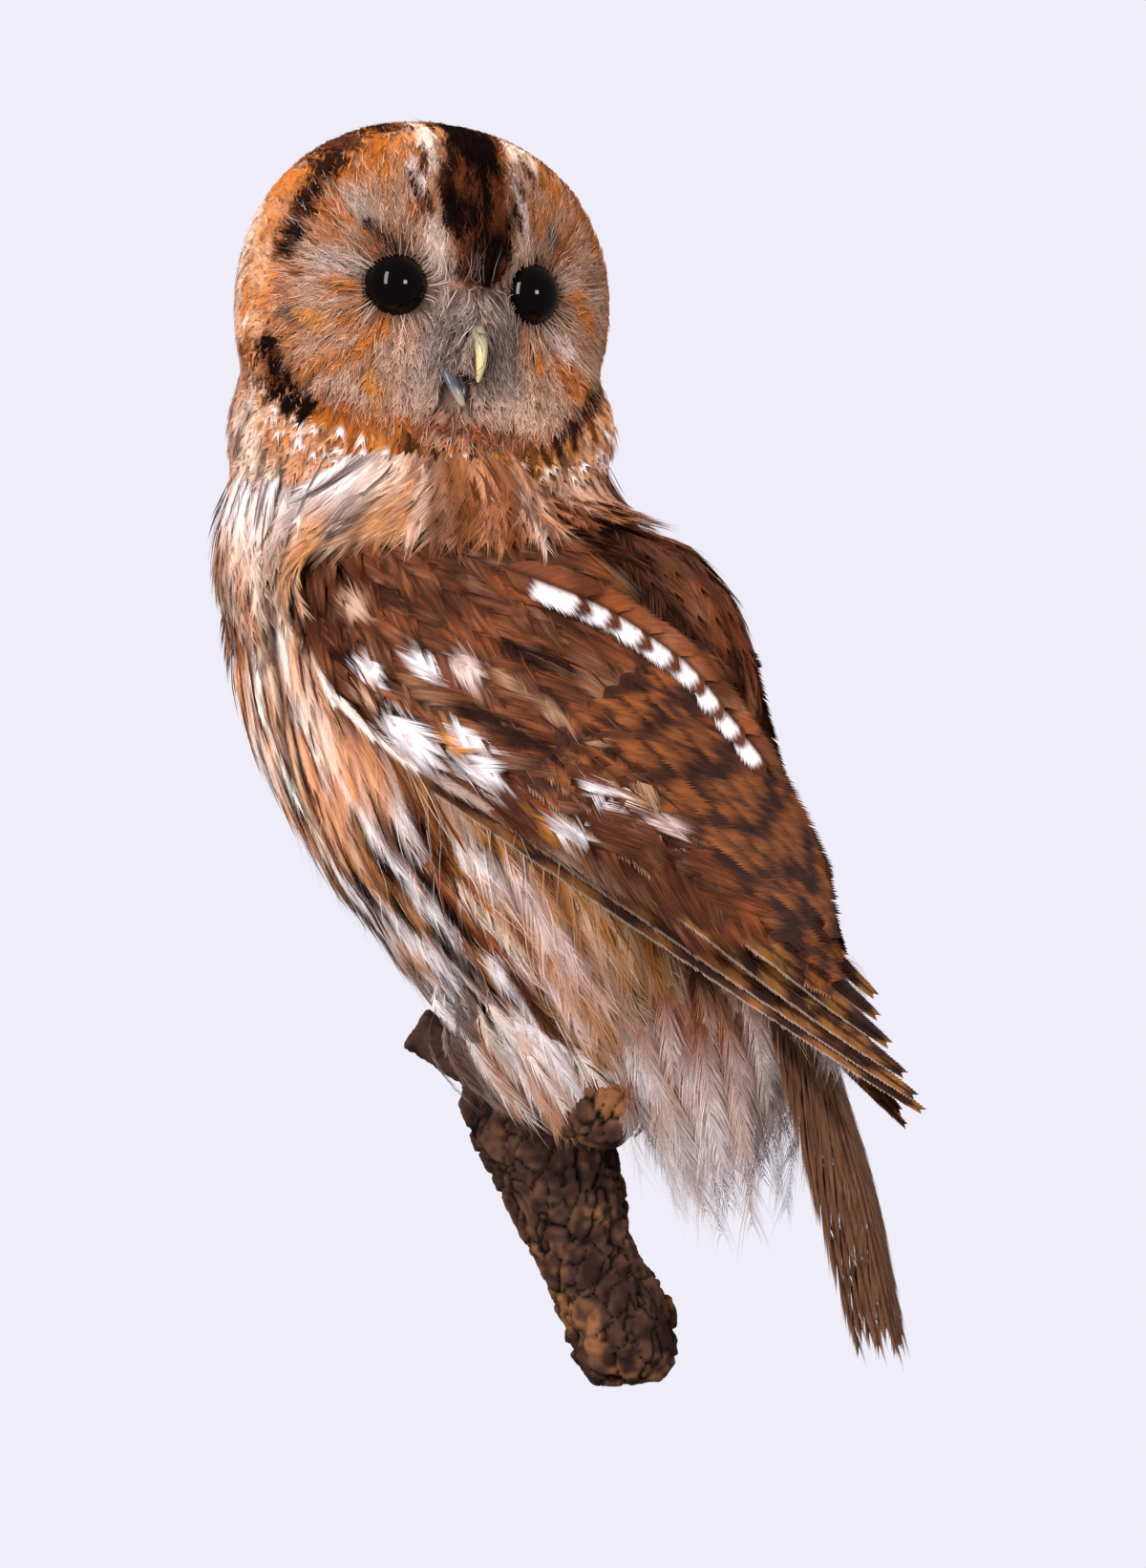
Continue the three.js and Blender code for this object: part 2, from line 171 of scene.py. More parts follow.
def clouds(places, size, seed=0):
    """Smooth noise from 0 to 1 over places; size is one length or one for each axis."""
    q = np.asarray(places, float) / np.asarray(size, float) + seed * 7.31
    cell = np.floor(q).astype(np.int64)
    f = q - cell
    f = f * f * (3 - 2 * f)
    total = np.zeros(q.shape[:-1])
    for corner in itertools.product((0, 1), repeat=3):
        c = cell + np.array(corner)
        h = (c[..., 0] * 73856093) ^ (c[..., 1] * 19349663) ^ (c[..., 2] * 83492791) ^ (seed * 40503 + 977)
        h = (h ^ (h >> 13)) & 0x7FFFFFFF
        h = (h * 1274126177) & 0x7FFFFFFF
        h = h ^ (h >> 15)
        weight = np.prod(np.where(np.array(corner) == 1, f, 1 - f), axis=-1)
        total += weight * (h & 0xFFFF) / 65535
    return total


def fibres(seed, *axes):
    """Smooth noise over coordinates that are already in cells, often drawn out along one of them."""
    return clouds(np.stack(np.broadcast_arrays(*axes), axis=-1), 1.0, seed)


def billows(places, size, seed=0):
    size = np.asarray(size, float)
    return clouds(places, size, seed) * 0.6 + clouds(places, size * 0.45, seed + 1) * 0.4


def along_rows(rows, share, pick):
    shares = [row[0] for row in rows]
    values = np.array([pick(row) for row in rows], float)
    if values.ndim == 1:
        return np.interp(share, shares, values)
    return np.stack([np.interp(share, shares, values[:, i]) for i in range(values.shape[1])], axis=-1)


def wing_place(side, share, across, lift=0.0):
    """A place on the outer face of a folded wing, in the body's own frame."""
    share, across = np.broadcast_arrays(np.asarray(share, float), np.asarray(across, float))
    lead = along_rows(WING, share, lambda row: row[1])
    trail = along_rows(WING, share, lambda row: row[2])
    place = mixed(lead, trail, across)
    bulge = along_rows(WING, share, lambda row: row[3]) * 4 * across * (1 - across)
    place[..., 0] += bulge * 0.8 + lift
    place[..., 1] -= bulge * 0.5 + np.asarray(lift) * 0.5
    if side > 0:
        under = np.clip((40 - place[..., 2]) / 100, 0, 1)
        place[..., 0] -= 7 * under
        place[..., 1] += 15 * under
    place[..., 0] *= side
    return place


# --- shaders


class Net:
    """One material and its nodes."""

    def __init__(self, name):
        self.material = bpy.data.materials.new(name)
        self.material.use_nodes = True
        self.tree = self.material.node_tree
        self.tree.nodes.clear()

    def node(self, kind, settings=None, **sockets):
        made = self.tree.nodes.new(kind)
        for key, value in (settings or {}).items():
            setattr(made, key, value)
        for key, value in sockets.items():
            index = int(key[1:]) if key[0] == "i" and key[1:].isdigit() else key.replace("_", " ")
            socket = made.inputs[index]
            if isinstance(value, Value):
                self.tree.links.new(value.socket, socket)
            else:
                socket.default_value = value
        return made

    def value(self, kind, settings=None, out=0, **sockets):
        return Value(self, self.node(kind, settings, **sockets).outputs[out])

    def blend(self, share, first, second):
        made = self.node("ShaderNodeMix", {"data_type": "RGBA"}, i0=share)
        for index, value in ((6, first), (7, second)):
            if isinstance(value, Value):
                self.tree.links.new(value.socket, made.inputs[index])
            else:
                made.inputs[index].default_value = (*value, 1)
        return Value(self, made.outputs[2])

    def scaled(self, colour, factor):
        made = self.node("ShaderNodeVectorMath", {"operation": "SCALE"}, i0=colour, Scale=factor)
        return Value(self, made.outputs[0])

    def stretched(self, vector, scale):
        made = self.node("ShaderNodeMapping", None, Vector=vector, Scale=scale)
        return Value(self, made.outputs[0])

    def noise(self, places, scale, detail=2.0, roughness=0.5):
        return self.value("ShaderNodeTexNoise", None, Vector=places, Scale=scale, Detail=detail, Roughness=roughness)

    def object_places(self):
        return self.value("ShaderNodeTexCoord", out=3)

    def finish(self, colour, roughness, height=None, bump=0.3, reach=0.0004, **fixed):
        shader = self.node("ShaderNodeBsdfPrincipled", None, Base_Color=colour, Roughness=roughness, **fixed)
        if height is not None:
            lumps = self.value("ShaderNodeBump", None, Strength=bump, Distance=reach, Height=height)
            self.tree.links.new(lumps.socket, shader.inputs["Normal"])
        out = self.tree.nodes.new("ShaderNodeOutputMaterial")
        self.tree.links.new(shader.outputs[0], out.inputs[0])
        return self.material


class Value:
    """A socket that can be used in sums."""

    def __init__(self, net, socket):
        self.net = net
        self.socket = socket

    def sum(self, operation, first, second):
        return self.net.value("ShaderNodeMath", {"operation": operation}, i0=first, i1=second)

    def __add__(self, other):
        return self.sum("ADD", self, other)

    __radd__ = __add__

    def __sub__(self, other):
        return self.sum("SUBTRACT", self, other)

    def __rsub__(self, other):
        return self.sum("SUBTRACT", other, self)

    def __mul__(self, other):
        return self.sum("MULTIPLY", self, other)

    __rmul__ = __mul__


# --- meshes


def unwrapped(places):
    """Skin laid flat: angle round the bird's upright axis and height on it."""
    high = places[:, 2]
    middle_x = np.interp(high, [-120, -60, 20, 103, 150, 225], [60, 42, 12, -17, -38, -42])
    middle_y = np.interp(high, [-120, -60, 20, 103, 150, 225], [-105, -106, -104, -98, -95, -95])
    round_it = np.arctan2(places[:, 1] - middle_y, places[:, 0] - middle_x) / (2 * math.pi) + 0.5
    return np.stack([round_it, (high + 130) / 410], axis=1)


def piece_from(name, mesh, material, replaces=()):
    piece = bpy.data.objects.new(name, mesh)
    bpy.context.scene.collection.objects.link(piece)
    mesh.materials.clear()
    mesh.materials.append(material)
    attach(piece, "root")
    if replaces:
        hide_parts(*replaces)
    return piece


def add_tint(mesh, colours):
    tint = mesh.color_attributes.new("Tint", "FLOAT_COLOR", "POINT")
    full = np.ones((len(colours), 4), np.float32)
    full[:, :3] = colours
    tint.data.foreach_set("color", full.ravel())


def add_map(mesh, name, corners):
    layer = mesh.uv_layers.new(name=name, do_init=False)
    layer.uv.foreach_set("vector", corners.astype(np.float32).ravel())


def smooth_faces(mesh):
    mesh.polygons.foreach_set("use_smooth", np.ones(len(mesh.polygons), bool))


def mesh_from(bm, name):
    mesh = bpy.data.meshes.new(name)
    bm.to_mesh(mesh)
    bm.free()
    smooth_faces(mesh)
    return mesh


def relaxed(bm, times):
    for _ in range(times):
        bmesh.ops.smooth_vert(bm, verts=bm.verts, factor=0.5, use_axis_x=True, use_axis_y=True, use_axis_z=True)


BAKE_PATCH = 0.003


def joined_mesh(name, parts):
    """Many small strips as one mesh. A part holds places, faces, tints, vane places and roots."""
    places, tints, vane, roots = (
        np.concatenate([part[key] for part in parts]) for key in ("places", "tints", "vane", "roots")
    )
    starts = np.cumsum([0] + [len(part["places"]) for part in parts[:-1]])
    faces = np.concatenate([part["faces"] + start for part, start in zip(parts, starts)])
    mesh = bpy.data.meshes.new(name)
    mesh.vertices.add(len(places))
    mesh.vertices.foreach_set("co", (places * MM).astype(np.float32).ravel())
    mesh.loops.add(faces.size)
    mesh.loops.foreach_set("vertex_index", faces.astype(np.int32).ravel())
    mesh.polygons.add(len(faces))
    mesh.polygons.foreach_set("loop_start", np.arange(0, faces.size, 3, dtype=np.int32))
    smooth_faces(mesh)
    mesh.update(calc_edges=True)
    add_tint(mesh, tints)
    flat = unwrapped(roots)
    flat = 0.01 + 0.98 * (flat - flat.min(axis=0)) / np.maximum(np.ptp(flat, axis=0), 1e-6)
    patch = flat + BAKE_PATCH * (np.clip(vane, 0, 1) - 0.5)
    add_map(mesh, "OFBake", patch[faces.ravel()])
    add_map(mesh, "Vane", vane[faces.ravel()])
    mesh.uv_layers.active = mesh.uv_layers["OFBake"]
    return mesh


# --- skin

FLESH = ["head", "neck", "trunk", "leg_left", "leg_right", "wing_left", "wing_right"]
TRUNK = FLESH.index("trunk")
WINGS = {-1: FLESH.index("wing_left"), 1: FLESH.index("wing_right")}
FILLING = ["eye_left", "eye_right", "bill_upper", "bill_lower"]
VOXEL = 0.0026


def solid_copy(name, grow):
    bm = bmesh.new()
    bm.from_mesh(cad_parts[name].data)
    bmesh.ops.remove_doubles(bm, verts=bm.verts, dist=1e-6)
    bm.normal_update()
    for vert in bm.verts:
        vert.co += vert.normal * grow
    return bm


def remeshed(name, nodes, grow, voxel, smoothing):
    together = bmesh.new()
    scratch = bpy.data.meshes.new(name + "_part")
    for node in nodes:
        bm = solid_copy(node, grow)
        bm.to_mesh(scratch)
        bm.free()
        together.from_mesh(scratch)
    mesh = bpy.data.meshes.new(name)
    together.to_mesh(mesh)
    together.free()
    rough = bpy.data.objects.new(name + "_rough", mesh)
    bpy.context.scene.collection.objects.link(rough)
    remesh = rough.modifiers.new("Remesh", "REMESH")
    remesh.mode = "VOXEL"
    remesh.voxel_size = voxel
    even = bpy.data.meshes.new_from_object(rough.evaluated_get(bpy.context.evaluated_depsgraph_get()))
    bpy.data.objects.remove(rough)
    bpy.data.meshes.remove(mesh)
    bpy.data.meshes.remove(scratch)
    bm = bmesh.new()
    bm.from_mesh(even)
    islands = island_sets(bm)
    biggest = max(islands, key=len)
    bmesh.ops.delete(bm, geom=[v for island in islands if island is not biggest for v in island], context="VERTS")
    relaxed(bm, smoothing)
    bm.normal_update()
    bm.to_mesh(even)
    bm.free()
    even.name = name
    return even


def island_sets(bm):
    unseen = set(bm.verts)
    islands = []
    while unseen:
        island = {unseen.pop()}
        front = list(island)
        while front:
            for edge in front.pop().link_edges:
                for vert in edge.verts:
                    if vert in unseen:
                        unseen.discard(vert)
                        island.add(vert)
                        front.append(vert)
        islands.append(island)
    return islands


def vertex_arrays(mesh):
    places = np.empty(len(mesh.vertices) * 3)
    mesh.vertices.foreach_get("co", places)
    ways = np.empty(len(mesh.vertices) * 3)
    mesh.vertices.foreach_get("normal", ways)
    return places.reshape(-1, 3) / MM, ways.reshape(-1, 3)


def part_of(places):
    """Which solid of flesh each place belongs to, as an index into FLESH."""
    trees = []
    for node in FLESH:
        bm = solid_copy(node, 0)
        trees.append(BVHTree.FromBMesh(bm))
        bm.free()
    away = np.array([[tree.find_nearest(place)[3] for tree in trees] for place in map(Vector, places * MM)])
    return away.argmin(axis=1)


def coat_depth(places, part):
    depth = np.choose(part, [2.6, 5.0, 5.0, 3.5, 3.5, 2.2, 2.2])
    head = HEAD.own(places)
    body = BODY.own(places)
    crown = (part == 0) & (head[:, 1] < 12)
    depth = np.where(crown, 3.6, depth)
    belly = (part == 2) & (body[:, 2] < -30)
    return np.where(belly, 6.5, depth)


skin_mesh = remeshed("skin", FLESH + FILLING, 0.0003, VOXEL, 3)
skin_places, skin_ways = vertex_arrays(skin_mesh)
skin_part = part_of(skin_places)
outer_tree = BVHTree.FromPolygons(
    [Vector(p) for p in skin_places], [tuple(face.vertices) for face in skin_mesh.polygons]
)
room_inside = np.array([
    (outer_tree.ray_cast(Vector(p - n * 0.4), Vector(-n))[3] or 60) for p, n in zip(skin_places, skin_ways)
])
shrink = np.minimum(coat_depth(skin_places, skin_part), room_inside * 0.38)
skin_places = skin_places - skin_ways * shrink[:, None]
skin_mesh.vertices.foreach_set("co", (skin_places * MM).ravel())
smoother = bmesh.new()
smoother.from_mesh(skin_mesh)
relaxed(smoother, 3)
bmesh.ops.triangulate(smoother, faces=smoother.faces)
smoother.normal_update()
smoother.to_mesh(skin_mesh)
smoother.free()
smooth_faces(skin_mesh)
skin_mesh.update()

skin_places, skin_ways = vertex_arrays(skin_mesh)
skin_faces = np.array([tuple(face.vertices) for face in skin_mesh.polygons])
skin_tree = BVHTree.FromPolygons([Vector(p) for p in skin_places], [tuple(map(int, f)) for f in skin_faces])
face_ways = unit(skin_ways[skin_faces].mean(axis=1))
face_part = skin_part[skin_faces[:, 0]]
corner = skin_places[skin_faces]
face_areas = np.linalg.norm(np.cross(corner[:, 1] - corner[:, 0], corner[:, 2] - corner[:, 0]), axis=1) / 2


def on_skin(places):
    """Nearest place on the skin, its outward way and the index of its face."""
    found = [skin_tree.find_nearest(place)[0::2] for place in map(Vector, places)]
    index = np.array([f[1] for f in found])
    return np.array([f[0] for f in found]), face_ways[index], index


# --- lie of the coat


def disc_reach(head):
    """1 on the rim of the face disc, less inside."""
    x = np.abs(head[..., 0]) / DISC["half_width"]
    z = np.abs(head[..., 2] - DISC["up"]) / DISC["half_height"]
    k = DISC["squareness"]
    reach = (x**k + z**k) ** (1 / k)
    return np.where(head[..., 1] > 2, reach, np.maximum(reach, 1.3))


def wing_share(body):
    """Share down the wing and across it, from the leading edge, of places in the body's frame."""
    ups = np.array([(row[1][2] + row[2][2]) / 2 for row in WING])[::-1]
    shares = np.array([row[0] for row in WING])[::-1]
    share = np.interp(body[..., 2], ups, shares)
    for _ in range(3):
        lead = along_rows(WING, share, lambda row: row[1])
        trail = along_rows(WING, share, lambda row: row[2])
        across = np.clip((lead[..., 1] - body[..., 1]) / np.maximum(lead[..., 1] - trail[..., 1], 1), 0, 1)
        level = mixed(lead, trail, across)[..., 2]
        share = np.clip(share + (level - body[..., 2]) / 170, 0, WING_END)
    return share, across


def wing_flow(side, body):
    share, across = wing_share(body)
    ahead = np.minimum(share + 0.06, WING_END)
    behind = np.maximum(share - 0.06, 0.04)
    lie = wing_place(side, ahead, across * 0.95) - wing_place(side, behind, across * 0.95)
    return BODY.heading(unit(lie))


def lie_of_coat(places, part):
    head = HEAD.own(places)
    body = BODY.own(places)
    tailward = BODY.heading(np.array([0, 0, -1.0]))
    way = np.broadcast_to(tailward, places.shape).copy()
    low_neck = rise(125, 165, places[:, 2])
    outward = unit(places * [1, 1, 0] - NECK_AXIS)
    neck_way = np.array([0, 0, -1.0]) + outward * 0.1
    x, y, z = places.T
    curl = rise(148, 158, z) * rise(-88, -70, x) * rise(-28, -45, x) * rise(-110, -130, y)
    neck_way[:, 0] -= 0.7 * curl
    way = mixed(way, neck_way, low_neck * (part <= 2))
    from_bill = unit(head - NOSTRILS)
    sinking = np.array([0, 0, -0.55]) * rise(34, 4, head[:, 2])[:, None]
    back = HEAD.heading(from_bill) + sinking
    way = np.where((part == 0)[:, None], back, way)
    reach = disc_reach(head)
    nearest = EYES[(head[:, 0] < 0).astype(int)]
    ray = (head - nearest) * [1, 0.25, 1]
    ray[:, 2] -= 5 * rise(14, 2, np.abs(head[:, 0])) * rise(20, 0, head[:, 2])
    level = np.ones(len(head))
    bristle = np.stack([np.clip(head[:, 0] / 9, -0.5, 0.5), level * 0.1, -level], axis=1)
    by_bill = rise(15, 6, np.abs(head[:, 0])) * rise(10, 0, head[:, 2])
    ray = mixed(unit(ray), unit(bristle), by_bill)
    above = rise(-2, 12, head[:, 2]) * rise(17, 7, np.abs(head[:, 0]))
    ray = mixed(ray, unit(from_bill), above)
    face = (part == 0) & (reach < 1.02)
    way = np.where(face[:, None], HEAD.heading(ray), way)
    for side, index in WINGS.items():
        chosen = part == index
        if chosen.any():
            shoulder = BODY.heading(np.array([side * 0.3, -0.35, -1.0]))
            fold = mixed(wing_flow(side, body[chosen]), shoulder, rise(44, 66, body[chosen][:, 2]))
            way[chosen] = mixed(fold, neck_way[chosen], rise(154, 164, places[chosen][:, 2]))
    return unit(way)


THIN = 1


def scattered(wanted, spacing, seed, longer=1.0):
    """Roots spread evenly over the skin faces for which wanted is above 0, spacing mm apart.

    Along the body they may be farther apart, by the factor longer.
    """
    pick = np.random.default_rng(seed)
    spacing = spacing * THIN**0.5
    weight = face_areas * wanted
    count = int(weight.sum() / spacing**2 / longer * 3.2)
    face = pick.choice(len(weight), count, p=weight / weight.sum())
    a, b = pick.random((2, count))
    flip = a + b > 1
    a, b = np.where(flip, 1 - a, a), np.where(flip, 1 - b, b)
    tri = skin_places[skin_faces[face]]
    places = tri[:, 0] + (tri[:, 1] - tri[:, 0]) * a[:, None] + (tri[:, 2] - tri[:, 0]) * b[:, None]
    cells = {}
    kept = []
    reach = spacing * 0.82
    spread = BODY.own(places) * [1, 1, 1 / longer]
    keys = np.floor(spread / reach).astype(int)
    around = list(itertools.product((-1, 0, 1), repeat=3))
    for i, (key, place) in enumerate(zip(map(tuple, keys), spread)):
        near = False
        for step in around:
            for other in cells.get((key[0] + step[0], key[1] + step[1], key[2] + step[2]), ()):
                gap = spread[other] - place
                if gap @ gap < reach * reach:
                    near = True
                    break
            if near:
                break
        if not near:
            cells.setdefault(key, []).append(i)
            kept.append(i)
    kept = np.array(kept)
    return places[kept], face_ways[face[kept]], face_part[face[kept]]


def turned_about(ways, axes, angles):
    c = np.cos(angles)[:, None]
    s = np.sin(angles)[:, None]
    return ways * c + np.cross(axes, ways) * s + axes * (axes * ways).sum(axis=1, keepdims=True) * (1 - c)


def laid_spines(places, ways, part, length, steps, uneven=0, wander=0.12, root=0.8, tip=3.0, hold=0.35, droop=0.0):
    """Spines that follow the skin along the lie of the coat and rise from root to tip height."""
    if uneven:
        length = length + chance.normal(0, uneven, len(places))
    angle = chance.normal(0, wander, len(places))
    points = [places]
    normals = [ways]
    here = places
    normal = ways
    length = np.broadcast_to(length, len(places))
    for _ in range(steps):
        way = lie_of_coat(here, part)
        way = turned_about(way, normal, angle)
        way = unit(way - normal * (way * normal).sum(axis=1, keepdims=True))
        if droop:
            way = unit(way + np.array([0, 0, -droop]))
        stride = length / steps
        ahead = here + way * stride[:, None]
        there, there_way, _ = on_skin(ahead)
        pull = there - ahead
        size = np.linalg.norm(pull, axis=1)
        buried = (pull * there_way).sum(axis=1) > 0
        same_face = (there_way * normal).sum(axis=1) > 0.1
        most = np.where(buried, 7.0 * (size < 7), stride * hold) * same_face
        here = ahead + pull * np.minimum(1, most / np.maximum(size, 1e-6))[:, None]
        normal = unit(normal * 0.4 + there_way * same_face[:, None])
        points.append(here)
        normals.append(normal)
    spine = np.stack(points, axis=1)
    normals = np.stack(normals, axis=1)
    share = np.linspace(0, 1, steps + 1)
    height = root + (np.broadcast_to(tip, len(places))[:, None] - root) * share**0.75
    return spine + normals * height[..., None], normals


def off_wings(spine, normals):
    """Only the feathers of the trunk that don't come out on a wing's outer face."""
    at, at_way, index = on_skin(spine[:, 2:].reshape(-1, 3))
    own = BODY.own(at)[:, 0]
    outside = np.isin(face_part[index], list(WINGS.values())) & ((at_way @ BODY.axes)[:, 0] * np.sign(own) > 0.25)
    kept = ~outside.reshape(len(spine), -1).any(axis=1)
    return spine[kept], normals[kept]


# Tips of the white edged feathers down the back of the wing, in the body's frame.
SCAPULARS = np.array([
    (44, -54, 12), (41, -60, 5), (38, -66, -4), (34, -70, -13),
    (30, -73, -22), (28, -75, -31), (26, -77, -40), (23, -78, -50),
], float)


OFF_SKIN = 4.6


def scapular_tips(side):
    """The far wing has only the first four."""
    return SCAPULARS[:8 if side < 0 else 4]


def on_the_wing(side, spine, normals):
    """Only the feathers whose tips stay on the folded wing and clear of the row of white edges."""
    own = BODY.own(spine) * [side, 1, 1]
    row = scapular_tips(side)
    inner = np.concatenate([row, (row[1:] + row[:-1]) / 2]) - [0, -4, 0]
    near = np.linalg.norm(own[:, 3:, None] - inner, axis=-1).min(axis=(1, 2))
    rear = along_rows(WING, wing_share(own[:, -1])[0], lambda place: place[2])[:, 1]
    off = np.linalg.norm(spine[:, -1] - on_skin(spine[:, -1])[0], axis=1)
    step = unit(np.diff(spine, axis=1))
    smooth = (step[:, 1:] * step[:, :-1]).sum(axis=-1).min(axis=1) > 0.8
    kept = smooth & (own[:, -1, 1] > rear - 2) & (off < OFF_SKIN) & ((near > 6) | (own[:, -1, 1] > own[:, 0, 1] + 30))
    return spine[kept], normals[kept], kept


RAY_START, RAY_REACH = 26, 40


def kept_above(spine, facing, lift):
    """Spines raised along their facing to lie a little over the skin that would hide them."""
    places, ways = spine.reshape(-1, 3), facing.reshape(-1, 3)
    hits = [
        skin_tree.ray_cast(Vector(place + way * RAY_START), Vector(-way), RAY_REACH)[3]
        for place, way in zip(places, ways)
    ]
    cover = np.array([-99 if hit is None else RAY_START - hit for hit in hits]).reshape(spine.shape[:2])
    raised = np.maximum(cover + lift, 0)
    for _ in range(3):
        raised[:, 1:-1] = np.maximum(raised[:, 1:-1], (raised[:, :-2] + raised[:, 2:]) / 2)
    return spine + facing * raised[..., None], facing


# --- feathers


def spine_at(table, share):
    """Values of a table (feather, step, 3) at shares (feather, ...) of the length, carried on past its end."""
    steps = table.shape[1] - 1
    at = np.clip(share, 0, None) * steps
    low = np.clip(np.floor(at).astype(int), 0, steps - 1)
    rest = (at - low)[..., None]
    rows = np.arange(len(table)).reshape((-1,) + (1,) * (share.ndim - 1))
    return table[rows, low] * (1 - rest) + table[rows, low + 1] * rest


def vane_outline(share, blunt, waist):
    """Half width of a vane along its length, at most 1."""
    shape = np.clip(share, 0, 1) ** waist * np.clip(1.02 - share, 0, 1) ** blunt
    return shape / shape.max()


def vane_axes(spine, normals):
    """Sideways and upright ways of a vane at every place of its spine."""
    tangent = unit(np.gradient(spine, axis=1))
    side = unit(np.cross(tangent, normals))
    return side, unit(np.cross(side, tangent))


def strip_part(places, faces, tints, across, along, roots):
    """A part for joined_mesh; across runs from -1 to 1 over the vane and along from 0 to 1."""
    vane = np.stack([across * 0.5 + 0.5, along], axis=1)
    return [{"places": places, "faces": faces, "tints": tints, "vane": vane, "roots": roots}]


def feathers(spine, normals, half_width, barbs, colouring, joints=2, sweep=1.0, curl=0.12,
             overlap=1.0, blunt=0.3, waist=0.35, ragged=0.3, split=0.0, bare=0.06, shaft=0.0):
    """Feathers with a barb strip on each side at every step along the shaft."""
    count = len(spine)
    half_width = np.broadcast_to(half_width, count).astype(float)
    length = np.linalg.norm(np.diff(spine, axis=1), axis=2).sum(axis=1)
    side, upright = vane_axes(spine, normals)
    at = bare + (1 - bare) * (np.arange(barbs) + 0.5) / barbs
    outline = vane_outline(at, blunt, waist)
    hand = np.array([1.0, -1.0])
    wide = half_width[:, None, None] * outline * (1 + ragged * chance.normal(0, 1, (count, 2, barbs)))
    notch = np.zeros((count, 2, barbs))
    if split:
        knots = chance.random((count, 2, max(2, barbs // 5)))
        knots = np.repeat(knots, math.ceil(barbs / knots.shape[2]), axis=2)[..., :barbs]
        notch = (knots - 0.5) * split / barbs
    out = np.linspace(0, 1, joints + 1)
    thick = (1 - bare) / barbs * overlap * (1 - out[:-1] ** 2 * 0.55)
    forward = (wide * sweep / length[:, None, None])[..., None] * out**1.25 + notch[..., None] * out
    base = at[None, None, :, None] + forward
    low = base[..., :-1] - thick / 2
    high = base[..., :-1] + thick / 2
    shares = np.concatenate([np.stack([low, high], axis=-1).reshape(*low.shape[:3], -1), base[..., -1:]], axis=-1)
    outs = np.concatenate([np.repeat(out[:-1], 2), out[-1:]])
    reach = wide[..., None] * outs * hand[None, :, None, None]
    place = spine_at(spine, shares)
    lateral = spine_at(side, np.minimum(shares, 1))
    up = spine_at(upright, np.minimum(shares, 1))
    drop = -curl * np.abs(reach) * outs
    place = place + lateral * reach[..., None] + up * drop[..., None]
    corners = place.shape[3]
    strip = []
    for j in range(joints - 1):
        strip += [(2 * j, 2 * j + 1, 2 * j + 3), (2 * j, 2 * j + 3, 2 * j + 2)]
    strip.append((2 * joints - 2, 2 * joints - 1, 2 * joints))
    strip = np.array(strip)
    both = np.stack([strip[:, ::-1], strip])
    first = (np.arange(count * 2 * barbs) * corners).reshape(count, 2, barbs)
    faces = (both[None, :, None] + first[..., None, None]).reshape(-1, 3)
    owner, across, along, strand = (values.ravel() for values in np.broadcast_arrays(
        np.arange(count)[:, None, None, None], outs * hand[None, :, None, None], shares,
        chance.random((count, 2, barbs))[..., None],
    ))
    places = place.reshape(-1, 3)
    tints = colouring(owner, across, along, strand, places)
    parts = strip_part(places, faces, tints, across, along, spine[owner, 0])
    if shaft:
        parts += shafts(spine, normals, shaft, colouring)
    return parts


def shafts(spine, normals, width, colouring, swell=0.0, lift=0.25):
    """A raised strip along each spine, tapered to the tip, or swelling in its middle."""
    count, steps = spine.shape[:2]
    side, upright = vane_axes(spine, normals)
    share = np.linspace(0, 1, steps)
    taper = (1 - 0.8 * share) * (1 - swell) + swell * np.sin(np.pi * share**1.4) ** 0.8
    half = np.broadcast_to(width, count)[:, None, None] * taper[None, :, None] / 2
    top = spine + upright * (lift * np.minimum(1, 3 * share))[None, :, None]
    rows = np.stack([top - side * half, top + upright * half * 0.5, top + side * half], axis=2)
    quad = []
    for k in range(steps - 1):
        a = 3 * k
        for j in (0, 1):
            quad += [(a + j, a + j + 1, a + j + 4), (a + j, a + j + 4, a + j + 3)]
    quad = np.array(quad)[:, ::-1]
    first = np.arange(count) * steps * 3
    faces = (quad[None] + first[:, None, None]).reshape(-1, 3)
    owner = np.repeat(np.arange(count), steps * 3)
    along = np.tile(np.repeat(share, 3), count)
    places = rows.reshape(-1, 3)
    zero = np.zeros(len(owner))
    tints = colouring(owner, zero, along, zero + 0.5, places)
    return strip_part(places, faces, tints, zero, along, spine[owner, 0])


def hairs(spine, normals, width, colouring):
    """Single tapered hairs or narrow locks along their spines."""
    count, steps = spine.shape[:2]
    width = np.broadcast_to(width, count)
    side, _ = vane_axes(spine, normals)
    share = np.linspace(0, 1, steps)
    half = width[:, None] * np.clip(1.05 - share**1.6, 0.05, 1)[None] / 2
    left = spine - side * half[..., None]
    right = spine + side * half[..., None]
    rows = np.stack([left, right], axis=2)[:, :-1].reshape(count, -1, 3)
    places = np.concatenate([rows, spine[:, -1:]], axis=1)
    corners = places.shape[1]
    strip = []
    for k in range(steps - 2):
        a = 2 * k
        strip += [(a, a + 1, a + 3), (a, a + 3, a + 2)]
    strip.append((2 * steps - 4, 2 * steps - 3, 2 * steps - 2))
    strip = np.array(strip)[:, ::-1]
    faces = (strip[None] + (np.arange(count) * corners)[:, None, None]).reshape(-1, 3)
    owner = np.repeat(np.arange(count), corners)
    along = np.tile(np.append(np.repeat(share[:-1], 2), 1.0), count)
    across = np.tile(np.append(np.tile([-1.0, 1.0], steps - 1), 0.0), count)
    strand = chance.random(count)[owner]
    places = places.reshape(-1, 3)
    tints = colouring(owner, across, along, strand, places)
    return strip_part(places, faces, tints, across, along, spine[owner, 0])


# --- markings


